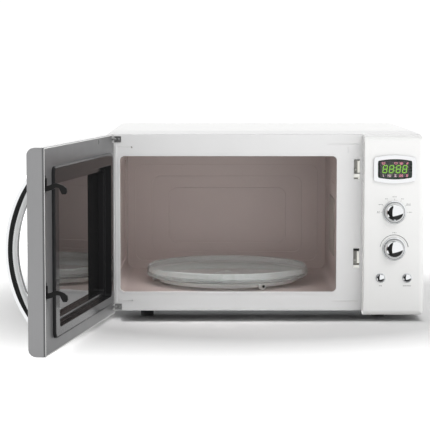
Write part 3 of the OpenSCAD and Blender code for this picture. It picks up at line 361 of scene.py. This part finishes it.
# cabinet, feet and cavity
make("cabinet_paint", moulded, rough=0.34, grain_mm=0.9, depth_mm=0.03, coat=0.25, edge_mm=0.8,
     drift=0.012)
make("frame_plastic", moulded, rough=0.30, grain_mm=0.6, coat=0.2, edge_mm=0.7, drift=0.012)
make("base_steel", metal, rough=0.42, stretch=(1, 0.1, 1))
make("foot_rubber", rubber, factor=0.55)
WARM_GREY = tuple(c * tint for c, tint in zip(COLOR_OF["cavity_enamel"], (0.74, 0.67, 0.66)))
make("cavity_enamel", enamel, WARM_GREY)
make("guide_steel", metal, rough=0.36, stretch=(1, 0.15, 1))
make("cover_mica", moulded, rough=0.55, grain_mm=1.5, depth_mm=0.05, edge_mm=0.3, drift=0.12,
     wear=0.3)
make("gland_plastic", moulded, rough=0.5, depth_mm=0.02, edge_mm=0.4, drift=0.08)
make("screw_steel", metal, rough=0.3, drift=0.08, edge_mm=0.2)

# works inside
make("magnetron_steel", metal, rough=0.32, stretch=(0.1, 1, 1))
make("core_steel", laminated)
make("winding_copper", wound)
make("capacitor_can", metal, rough=0.35, stretch=(1, 0.1, 1))
make("switch_body", moulded, (0.42, 0.42, 0.41), rough=0.45, grain_mm=0.4, edge_mm=0.3, drift=0.06)
make("black_part", moulded, rough=0.45, grain_mm=0.4, edge_mm=0.3, drift=0.1)
make("fan_plastic", moulded, rough=0.5, grain_mm=0.6, depth_mm=0.02, edge_mm=0.3, drift=0.04)
make("motor_steel", metal, rough=0.38)
make("lamp_bulb", moulded, rough=0.2, grain_mm=1.0, coat=0.5, drift=0.05)
make("board_green", circuit)
make("encoder_metal", metal, rough=0.4)
make("fuse_ceramic", moulded, rough=0.3, grain_mm=0.6, coat=0.3, drift=0.04)
# Painted light: the latches glow faintly so that they read as lit inside their dark slots.
make("latch_plastic", moulded, factor=1.3, rough=0.45, depth_mm=0.02, edge_mm=0.4, drift=0.04,
     lift=0.3)
make("plunger_plastic", moulded, rough=0.4, grain_mm=0.4, edge_mm=0.2, drift=0.06)

# turntable
make("coupler_plastic", moulded, rough=0.45, depth_mm=0.02, edge_mm=0.4, drift=0.04)
make("tray_glass", glass, (0.93, 0.98, 0.965), clear=0.78, ripple_mm=0.006)
make("ring_plastic", moulded, rough=0.42, depth_mm=0.02, edge_mm=0.4)
make("roller_plastic", moulded, rough=0.38, grain_mm=0.4, edge_mm=0.3)

# control panel
make("panel_plastic", moulded, rough=0.24, depth_mm=0.006, coat=0.35, edge_mm=0.6, drift=0.01)
make("chrome_trim", polished)
make("display_lens", glass, (0.75, 0.75, 0.76), ior=1.3, ripple_mm=0.0)
make("knob_chrome", polished, rough=0.03)
make("button_chrome", polished, rough=0.03)

# door
make("hinge_steel", metal, factor=0.6, rough=0.34, stretch=(1, 1, 0.2), drift=0.08, edge_mm=0.3)
make("door_plastic", moulded, rough=0.24, depth_mm=0.006, coat=0.35, edge_mm=0.7, drift=0.01)
make("edge_plastic", moulded, factor=0.85, rough=0.40, depth_mm=0.012, edge_mm=0.8, drift=0.02,
     gloss=0.25)
make("door_frame_paint", moulded, factor=0.6, rough=0.30, grain_mm=0.8, edge_mm=0.5, gloss=0.4)
make("choke_plastic", moulded, factor=0.6, rough=0.16, grain_mm=0.6, depth_mm=0.003, edge_mm=1.1,
     drift=0.06, gloss=0.35)
make("window_glass", glass, rough=0.012, ior=1.52, clear=0.85, ripple_mm=0.004)
make("inner_glass", glass, rough=0.01, ior=1.8, clear=0.8, ripple_mm=0.004, coat=0.6)
make("screen_metal", perforated)
make("handle_chrome", polished, rough=0.04)
make("hook_plastic", moulded, factor=0.4, rough=0.42, grain_mm=0.4, depth_mm=0.012, edge_mm=0.6,
     drift=0.15, gloss=0.15)
make("spring_steel", metal, rough=0.3)

# Curved walls read as smooth and real edges stay sharp. The display frame and the button rings also
# get rounded edges; their shape in the CAD is untouched.
SMOOTH_BELOW, ROUND_ABOVE = math.radians(32), math.radians(40)
SLOT_HERE = {**SLOT_OF, "door_switches": "switch_body"}

for node_name, obj in NODES.items():
    obj.data.materials.clear()
    obj.data.materials.append(MATERIALS[SLOT_HERE[node_name]])
    custom = obj.data.attributes.get("custom_normal")
    if custom:
        obj.data.attributes.remove(custom)
    obj.data.shade_smooth()
    obj.data.set_sharp_from_angle(angle=SMOOTH_BELOW)

for node_name, width in (("display_frame", 2.2), ("button_rings", 0.2)):
    edge = NODES[node_name].modifiers.new("edge", "BEVEL")
    edge.width = width * MM
    edge.segments = 4
    edge.limit_method = "ANGLE"
    edge.angle_limit = ROUND_ABOVE

INK = printed("panel_ink", (0.06, 0.06, 0.062))
GREEN_GLOW = glowing("digit_glow", (0.30, 0.74, 0.05), 1.25)
PINK_GLOW = glowing("icon_glow_pink", (1.0, 0.34, 0.44), 1.3)
WHITE_GLOW = glowing("icon_glow_white", (1.0, 0.78, 0.80), 1.2)


# ------------------------------------------------------------------ mesh pieces

def piece(name, mesh_maker, material, body, smooth=False):
    """A new piece from a function that fills a bmesh in the row's frame."""
    mesh = bpy.data.meshes.new(name)
    bm = bmesh.new()
    mesh_maker(bm)
    bmesh.ops.recalc_face_normals(bm, faces=bm.faces)
    bm.to_mesh(mesh)
    bm.free()
    for face in mesh.polygons:
        face.use_smooth = smooth
    mesh.materials.append(material)
    obj = bpy.data.objects.new(name, mesh)
    bpy.context.scene.collection.objects.link(obj)
    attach(obj, body)
    return obj


def prism(bm, outline, y0, y1, centre=(0, 0), slant=0.0):
    """Extrudes an (x, z) outline from y0 to y1. Slant leans it to the right going up."""
    cx, cz = centre
    near, far = ([bm.verts.new((cx + x + slant * z, y, cz + z)) for x, z in outline]
                 for y in (y0, y1))
    bm.faces.new(near)
    bm.faces.new(reversed(far))
    for i in range(len(outline)):
        j = (i + 1) % len(outline)
        bm.faces.new((near[i], near[j], far[j], far[i]))


def bar_outline(length, width, upright):
    """A bar with pointed ends, as in a digit's segment."""
    half, w = length / 2, width / 2
    points = [(-half, 0), (-half + w, w), (half - w, w),
              (half, 0), (half - w, -w), (-half + w, -w)]
    return [(-z, x) for x, z in points] if upright else points


def rounded_bar(length, width, steps=5):
    """A bar with round ends."""
    r = width / 2
    points = []
    for side in (1, -1):
        for i in range(steps + 1):
            a = side * math.pi / 2 - math.pi * i / steps
            points.append((side * (length / 2 - r) + r * math.cos(a), r * math.sin(a)))
    return points


def turned(points, angle):
    """The points turned anticlockwise about (0, 0)."""
    c, s = math.cos(angle), math.sin(angle)
    return [(x * c - z * s, x * s + z * c) for x, z in points]


def moved(points, dx, dz):
    """The points shifted."""
    return [(x + dx, z + dz) for x, z in points]


# ------------------------------------------------------------------ display

lens_low, lens_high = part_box("display_lens")
lens = (lens_low + lens_high) / 2
lens_h = lens_high.z - lens_low.z
GLOW_Y0 = lens_high.y + 0.1 * MM
GLOW_Y1 = GLOW_Y0 + 0.5 * MM

DIGIT_H, DIGIT_W, STROKE, LEAN = 12.0 * MM, 7.0 * MM, 1.25 * MM, 0.13
DIGIT_X = [-14.6 * MM, -5.0 * MM, 5.4 * MM, 15.0 * MM]
DOT_RISE, DOT_SIZE = 2.3 * MM, 1.3 * MM


def segments():
    """(bar, x, z) of a digit's seven segments about its centre."""
    h, w = DIGIT_H / 2 - STROKE / 2, DIGIT_W / 2 - STROKE / 2
    gap = 0.25 * MM
    flat, tall = bar_outline(2 * w - gap, STROKE, False), bar_outline(h - gap, STROKE, True)
    return [(flat, 0, h), (flat, 0, 0), (flat, 0, -h),
            (tall, -w, h / 2), (tall, w, h / 2), (tall, -w, -h / 2), (tall, w, -h / 2)]


def digits(bm):
    """Four eights."""
    for x in DIGIT_X:
        for outline, dx, dz in segments():
            prism(bm, moved(outline, dx, dz), GLOW_Y0, GLOW_Y1, (lens.x + x, lens.z), LEAN)


def colon(bm):
    """Two dots between the middle digits."""
    dot = rounded_bar(DOT_SIZE, DOT_SIZE - 0.01 * MM)
    for dz in (-DOT_RISE, DOT_RISE):
        prism(bm, moved(dot, 0, dz), GLOW_Y0, GLOW_Y1,
              (lens.x + (DIGIT_X[1] + DIGIT_X[2]) / 2, lens.z), LEAN)


piece("display_digits", digits, GREEN_GLOW, "chassis")
piece("display_colon", colon, GREEN_GLOW, "chassis")

# Generic marks in a row above and a row below the digits, each made of small squares.
ROW_TOP, ROW_LOW = lens_h * 0.285, -lens_h * 0.325
CELL = 1.05 * MM


def icon_grid(bm, x, z, pattern):
    """Small squares wherever the pattern's rows have an x."""
    square = rounded_bar(CELL * 0.96, CELL * 0.9, 3)
    for r, line in enumerate(pattern):
        for c, mark in enumerate(line):
            if mark == "x":
                dx = (c - (len(line) - 1) / 2) * CELL
                dz = ((len(pattern) - 1) / 2 - r) * CELL
                prism(bm, moved(square, dx, dz), GLOW_Y0, GLOW_Y1, (lens.x + x, lens.z + z))


WAVES = ["xx.xx", "x.x.x", "xx.xx", ".xxx."]
BOWL = ["xxxxx", "x...x", ".xxx."]
FLAKE = ["x.x.x", ".xxx.", "xxxxx", ".xxx."]
DROP = [".xx", "xxx", "xx."]
STEM = ["x.", "x.", "xx", ".x"]
PAIR = ["x.x.x", "xxx.x", "x.x.x", "x.xxx"]
PLATE = ["xxx", ".x.", "xxx", "xxx"]
FAN = ["xx.xx", "x.xxx", "xxx.x", "xx.xx"]
CUP = ["xxx", "xx.", ".xx", "xx."]


def pink_icons(bm):
    """All of the upper row and the right of the lower one."""
    for x, pattern in ((-17.0, WAVES), (1.6, BOWL), (9.8, FLAKE), (18.8, DROP)):
        icon_grid(bm, x * MM, ROW_TOP, pattern)
    for x, pattern in ((9.6, FAN), (18.6, CUP)):
        icon_grid(bm, x * MM, ROW_LOW, pattern)


def white_icons(bm):
    """The left of the lower row."""
    for x, pattern in ((-17.0, STEM), (-8.0, PAIR), (1.0, PLATE)):
        icon_grid(bm, x * MM, ROW_LOW, pattern)


piece("display_icons_pink", pink_icons, PINK_GLOW, "chassis")
piece("display_icons_white", white_icons, WHITE_GLOW, "chassis")


# ------------------------------------------------------------------ print on the panel

INK_Y0, INK_Y1 = PANEL_FACE_Y - 0.06 * MM, PANEL_FACE_Y + 0.02 * MM
DASH = 0.75 * MM
rings_low, rings_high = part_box("knob_rings")
RING_R = (rings_high.x - rings_low.x) / 2
selector = Vector(JOINTS["selector_turn"]["pos_m"])
timer = Vector(JOINTS["timer_turn"]["pos_m"])


def dial_print(bm):
    """Seven positions round the selector, each a tick and a generic dashed label."""
    tick_r, label_rx, label_rz = RING_R + 2.0 * MM, RING_R + 6.4 * MM, RING_R + 5.6 * MM
    line_rise, gap, thickness = 0.85 * MM, 0.5, 0.62 * MM
    for i in range(7):
        angle = math.radians(180 - 30 * i)
        tick = turned(moved(rounded_bar(1.6 * MM, 0.42 * MM), tick_r, 0), angle)
        prism(bm, tick, INK_Y0, INK_Y1, (selector.x, selector.z))
        x, z = label_rx * math.cos(angle), label_rz * math.sin(angle)
        lengths = (2.2, 1.3, 1.9)[: 3 if i % 2 else 2]
        for dz in (line_rise, -line_rise) if i in (0, 5) else (0,):
            start = x - (sum(lengths) / 2 + 0.35) * MM
            for length in lengths:
                dash = moved(rounded_bar(length * MM, thickness), start + length / 2 * MM, z + dz)
                prism(bm, dash, INK_Y0, INK_Y1, (selector.x, selector.z))
                start += (length + gap) * MM


def arc_print(bm):
    """A line over the timer knob, thicker clockwise, with a dash over its middle."""
    r, steps = RING_R + 3.6 * MM, 64
    start, sweep = 172, 164
    thin, swell = 0.55, 0.45

    def ends(k):
        """The line's inner and outer points after k steps."""
        angle, half = math.radians(start - sweep * k / steps), (thin + swell * k / steps) * MM / 2
        return [((r + side * half) * math.cos(angle), (r + side * half) * math.sin(angle))
                for side in (-1, 1)]

    for i in range(steps):
        (inner, outer), (next_inner, next_outer) = ends(i), ends(i + 1)
        prism(bm, [inner, outer, next_outer, next_inner], INK_Y0, INK_Y1, (timer.x, timer.z))
    for dx, length in ((-2.2, 1.4), (0.2, 2.2), (2.7, 1.4)):
        dash = moved(rounded_bar(length * MM, DASH), dx * MM, r + 3.2 * MM)
        prism(bm, dash, INK_Y0, INK_Y1, (timer.x, timer.z))


def button_print(bm):
    """A dashed label under each button."""
    drop = 4.6 * MM
    for node_name, dashes in (("left_button", ((-1.6, 1.6), (0.9, 2.2))),
                              ("right_button", ((-4.9, 2.4), (-2.0, 2.2), (1.3, 3.2), (4.6, 2.2)))):
        centre = (middle(node_name).x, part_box(node_name)[0].z - drop)
        for dx, length in dashes:
            dash = moved(rounded_bar(length * MM, DASH), dx * MM, 0)
            prism(bm, dash, INK_Y0, INK_Y1, centre)


piece("dial_print", dial_print, INK, "chassis")
piece("arc_print", arc_print, INK, "chassis")
piece("button_print", button_print, INK, "chassis")


# ------------------------------------------------------------------ small fastenings

def lathe(bm, profile, at, axis, steps=24):
    """Turns a (radius, height) profile about an axis through a point."""
    turn = Vector((0, 0, 1)).rotation_difference(Vector(axis)).to_matrix()

    def vert(x, y, z):
        return bm.verts.new(Vector(at) + turn @ Vector((x, y, z)))

    rings = []
    for r, h in profile:
        angles = [2 * math.pi * i / steps for i in range(steps)] if r else [0]
        rings.append([vert(r * math.cos(a), r * math.sin(a), h) for a in angles])
    for a, b in zip(rings, rings[1:]):
        for i in range(steps):
            j = (i + 1) % steps
            if len(a) == 1:
                bm.faces.new((a[0], b[i], b[j]))
            elif len(b) == 1:
                bm.faces.new((a[i], b[0], a[j]))
            else:
                bm.faces.new((a[i], b[i], b[j], a[j]))


def axle_caps(bm):
    """Dark push-on caps at the outer ends of the three roller axles."""
    centre = middle("glass_tray")
    axle_end = 4.4 * MM
    profile = [(0, 0), (2.3 * MM, 0), (2.3 * MM, 0.35 * MM), (1.7 * MM, 0.75 * MM), (0, 0.95 * MM)]
    for i in range(3):
        at = Vector(JOINTS[f"roller_{i + 1}_spin"]["pos_m"])
        out = Vector((at.x - centre.x, at.y - centre.y, 0)).normalized()
        lathe(bm, profile, at + out * axle_end, out)


piece("roller_axle_caps", axle_caps, MATERIALS["hook_plastic"], "ring",
      smooth=True)


def hinge_screws(bm):
    """Pan-head screws through the two hinge flanges, which lie in the frame's face."""
    flange_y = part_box("front_frame")[0].y - 0.5 * MM
    inset = 4.5 * MM
    profile = [(0, 0.9 * MM), (0.5 * MM, 0.9 * MM), (1.5 * MM, 0.6 * MM), (1.8 * MM, 0.1 * MM),
               (1.8 * MM, 0), (0, 0)]
    for node_name in ("upper_hinge_plate", "lower_hinge_plate"):
        low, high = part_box(node_name)
        z = high.z - inset if node_name.startswith("upper") else low.z + inset
        for share in (0.62, 0.86):
            lathe(bm, profile, (low.x + (high.x - low.x) * share, flange_y, z), (0, -1, 0))


piece("hinge_screws", hinge_screws, MATERIALS["screw_steel"], "chassis",
      smooth=True)


spring_low, spring_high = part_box("hook_spring")


def coil(bm):
    """The hook's spring as one coiled wire in place of the CAD's stack of rings."""
    wire = 0.4 * MM
    r = (spring_high.x - spring_low.x) / 2 - wire
    centre = (spring_low + spring_high) / 2
    turns, steps, sides = 8, 24, 8
    length = spring_high.z - spring_low.z - 2 * wire
    up = Vector((0, 0, 1))
    rings = []
    for i in range(turns * steps + 1):
        a = 2 * math.pi * i / steps
        out = Vector((math.cos(a), math.sin(a), 0))
        z = spring_low.z + wire + length * i / (turns * steps)
        at = Vector((centre.x + r * out.x, centre.y + r * out.y, z))
        around = (2 * math.pi * k / sides for k in range(sides))
        rings.append([bm.verts.new(at + wire * (math.cos(b) * out + math.sin(b) * up))
                      for b in around])
    for ring, following in zip(rings, rings[1:]):
        for k in range(sides):
            j = (k + 1) % sides
            bm.faces.new((ring[k], ring[j], following[j], following[k]))
    bm.faces.new(rings[0])
    bm.faces.new(reversed(rings[-1]))


spring = piece("hook_spring_coil", coil, MATERIALS["spring_steel"], "door",
               smooth=True)
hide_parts("hook_spring")
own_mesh(spring)


# ------------------------------------------------------------------ line round the door

def rounded_loop(x0, z0, x1, z1, r, steps=8):
    """Points round a rounded rectangle, each with its outward direction."""
    points = []
    corners = ((x1 - r, z1 - r), (x0 + r, z1 - r), (x0 + r, z0 + r), (x1 - r, z0 + r))
    for quarter, (cx, cz) in enumerate(corners):
        for i in range(steps + 1):
            a = math.radians(90 * quarter + 90 * i / steps)
            out = (math.cos(a), math.sin(a))
            points.append((cx + r * out[0], cz + r * out[1], out))
    return points


def bead(bm, loop, y, width, height, place, sides=7):
    """A half-round bead along a loop in the closed door's plane, put in place by a matrix."""
    rings = []
    for x, z, out in loop:
        ring = []
        for k in range(sides):
            a = math.pi * k / (sides - 1)
            w = width / 2 * (math.cos(a) - 1)
            at = Vector((x + out[0] * w, y + height * math.sin(a), z + out[1] * w))
            ring.append(bm.verts.new(place @ at))
        rings.append(ring)
    for a, b in zip(rings, rings[1:] + rings[:1]):
        for k in range(sides - 1):
            bm.faces.new((a[k], a[k + 1], b[k + 1], b[k]))
        bm.faces.new((a[sides - 1], a[0], b[0], b[sides - 1]))


def closed_box(node_name):
    """A door node's box in the closed door's place."""
    points = [TO_CLOSED @ v.co for v in NODES[node_name].data.vertices]
    low = Vector(min(p[i] for p in points) for i in range(3))
    high = Vector(max(p[i] for p in points) for i in range(3))
    return low, high


frame_low, frame_high = closed_box("door_inner_frame")


def painted_highlight_rim(bm):
    """A white bead round the door's inner face: partly the moulding's own white edge, partly a painted highlight
    where its rounded edge catches the light.
    """
    inset, corner = 0.25 * MM, 2.2 * MM
    width, height, sunk = 1.5 * MM, 0.5 * MM, 0.05 * MM
    loop = rounded_loop(frame_low.x + inset, frame_low.z + inset,
                        frame_high.x - inset, frame_high.z - inset, corner)
    bead(bm, loop, frame_high.y - sunk, width, height, TO_OPEN)


# Painted highlight: the white bead stands in for the light caught by the moulding's rounded edge.
piece("door_highlight_bead", painted_highlight_rim, MATERIALS["door_plastic"], "door", smooth=True)


# ------------------------------------------------------------------ stage

def stage_plane(name, low, high, material, **seen):
    """A flat rectangle, not part of the object, between two points that share one coordinate."""
    u, v = (i for i in range(3) if low[i] != high[i])
    mesh = bpy.data.meshes.new(name)
    bm = bmesh.new()
    verts = []
    for u_end, v_end in ((low, low), (high, low), (high, high), (low, high)):
        corner = list(low)
        corner[u], corner[v] = u_end[u], v_end[v]
        verts.append(bm.verts.new(corner))
    bm.faces.new(verts)
    bm.to_mesh(mesh)
    bm.free()
    mesh.materials.append(material)
    obj = bpy.data.objects.new(name, mesh)
    bpy.context.scene.collection.objects.link(obj)
    for key, value in seen.items():
        setattr(obj, "visible_" + key, value)


def floor_paper():
    """Pale paper that turns into plain white light away from the object."""
    n = Nodes("floor_paper")
    tone = n.ramp(n.noise(3.0, 2.0), [(0.3, (0.85, 0.85, 0.85)), (0.7, (0.87, 0.87, 0.87))])
    reach = n.node("VectorMath", operation="LENGTH")
    n.link(n.place, reach.inputs[0])
    far = n.span(reach.outputs["Value"], 0.0, 1.0, 0.36, 0.72)
    n.set(Base_Color=tone, Roughness=0.95, Emission_Color=(1, 1, 1), Emission_Strength=far)
    return n.material


def backdrop_paper():
    """White light behind the object."""
    n = Nodes("backdrop_paper")
    tone = n.ramp(n.noise(1.0, 1.0), [(0.3, (1.0, 1.0, 1.0)), (0.7, (0.99, 0.99, 0.99))])
    n.set(Base_Color=(0, 0, 0), Roughness=1.0, Emission_Color=tone, Emission_Strength=1.05)
    return n.material


def card_paper(name, level):
    """Matt card of one grey level."""
    n = Nodes(name)
    grey = (level, level, level)
    tone = n.ramp(n.noise(2.0, 1.0), [(0.3, shade(grey, 0.9)), (0.7, shade(grey, 1.1))])
    n.set(Base_Color=tone, Roughness=1.0)
    return n.material


SIDE, BACK, FRONT, TOP = 5.0, 3.0, -4.0, 4.0
stage_plane("stage_floor", (-SIDE, FRONT, 0), (SIDE, BACK, 0), floor_paper(), glossy=False)
stage_plane("stage_backdrop", (-SIDE, BACK, -0.5), (SIDE, BACK, TOP), backdrop_paper(),
            glossy=False, diffuse=False, shadow=False)

# Black cards that only the chrome and the glass can see: one in front and to the left, one beside
# the control panel and one before the handle.
for name, low, high in (("stage_card", (-1.5, -1.3, -0.4), (-0.40, -1.3, 1.7)),
                        ("stage_side_card", (-0.02, -0.62, -0.9), (-0.02, -0.26, 1.1)),
                        ("stage_handle_card", (-0.42, -0.85, -0.2), (-0.16, -0.85, 0.7))):
    stage_plane(name, low, high, card_paper("card_paper", 0.014),
                camera=False, diffuse=False, shadow=False, transmission=False)

# A low flag along the front, unseen itself, that deepens the shadow the body stands in.
body_low, body_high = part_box("outer_cabinet")
FLAG_Z, FLAG_REACH, FLAG_INSET = 0.007, 0.075, 0.03
stage_plane("stage_flag", (body_low.x + FLAG_INSET, body_low.y - FLAG_REACH, FLAG_Z),
            (body_high.x, body_low.y, FLAG_Z), card_paper("flag_paper", 0.75),
            camera=False, glossy=False, transmission=False)


def area_light(name, at, to, size, power):
    """A soft box that lights the scene but isn't mirrored in it."""
    data = bpy.data.lights.new(name, "AREA")
    data.shape = "RECTANGLE"
    data.size, data.size_y = size
    data.energy = power
    obj = bpy.data.objects.new(name, data)
    obj.location = at
    obj.rotation_euler = (Vector(to) - Vector(at)).to_track_quat("-Z", "Y").to_euler()
    obj.visible_glossy = False
    bpy.context.scene.collection.objects.link(obj)


KEY_POWER, TOP_POWER, GLOW_POWER = 26, 11, 0.6
area_light("key", (1.3, -1.9, 2.3), (0.0, -0.1, 0.1), (1.6, 1.4), KEY_POWER)
area_light("top", (0.0, 1.3, 2.4), (0, -0.2, 0.0), (2.2, 1.2), TOP_POWER)
cavity_low, cavity_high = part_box("oven_cavity")
cavity = middle("oven_cavity")
area_light("cavity_glow", (cavity.x - 0.06, cavity_low.y + 0.03, cavity_high.z - 0.012),
           (cavity.x - 0.04, cavity.y, cavity_low.z), (0.22, 0.06), GLOW_POWER)

# The world's strength for lighting, for reflections and for the camera.
WORLD_LEVEL, MIRROR_LEVEL, SEEN_LEVEL = 0.46, 1.15, 1.05
# Below a plane that leans by these shares of x and y, it fades to dark between two heights.
LEAN_X, LEAN_Y, FADE_FROM, FADE_TO, DARKNESS = 0.25, 0.2, -0.42, -0.50, 0.96


def studio_world():
    """Soft white surroundings that are dark low down, for the chrome to show."""
    world = bpy.data.worlds.new("studio")
    bpy.context.scene.world = world
    world.use_nodes = True
    tree = world.node_tree
    tree.nodes.clear()
    link = tree.links.new
    out = tree.nodes.new("ShaderNodeOutputWorld")
    back = tree.nodes.new("ShaderNodeBackground")
    where = tree.nodes.new("ShaderNodeTexCoord").outputs["Generated"]
    split = tree.nodes.new("ShaderNodeSeparateXYZ")
    link(where, split.inputs["Vector"])

    def step(value, low, high):
        n = tree.nodes.new("ShaderNodeMapRange")
        n.interpolation_type = "SMOOTHSTEP"
        n.inputs["From Min"].default_value = low
        n.inputs["From Max"].default_value = high
        link(value, n.inputs["Value"])
        return n.outputs["Result"]

    def combine(operation, a, b):
        n = tree.nodes.new("ShaderNodeMath")
        n.operation = operation
        for socket, value in zip(n.inputs, (a, b)):
            if isinstance(value, (int, float)):
                socket.default_value = value
            else:
                link(value, socket)
        return n.outputs["Value"]

    lean = combine("ADD", combine("MULTIPLY", split.outputs["X"], LEAN_X),
                   combine("MULTIPLY", split.outputs["Y"], LEAN_Y))
    dark = step(combine("SUBTRACT", split.outputs["Z"], lean), FADE_FROM, FADE_TO)
    level = combine("SUBTRACT", 1.0, combine("MULTIPLY", dark, DARKNESS))
    link(level, back.inputs["Color"])
    path = tree.nodes.new("ShaderNodeLightPath").outputs
    gain = combine("ADD",
                   combine("MULTIPLY", path["Is Glossy Ray"], MIRROR_LEVEL - WORLD_LEVEL),
                   combine("MULTIPLY", path["Is Camera Ray"], SEEN_LEVEL - WORLD_LEVEL))
    link(combine("ADD", gain, WORLD_LEVEL), back.inputs["Strength"])
    link(back.outputs["Background"], out.inputs["Surface"])


studio_world()
bpy.context.scene.view_settings.view_transform = "Standard"


# ------------------------------------------------------------------ camera

camera = bpy.data.objects.new("camera", bpy.data.cameras.new("camera"))
bpy.context.scene.collection.objects.link(camera)
camera.location = (-0.0781, -2.7182, 0.3961)
camera.rotation_euler = (math.radians(90 - 5.1235), 0, 0)
camera.data.lens = 140.3
camera.data.sensor_width = 36
camera.data.shift_x = 0.0070
camera.data.shift_y = -0.01385
bpy.context.scene.camera = camera
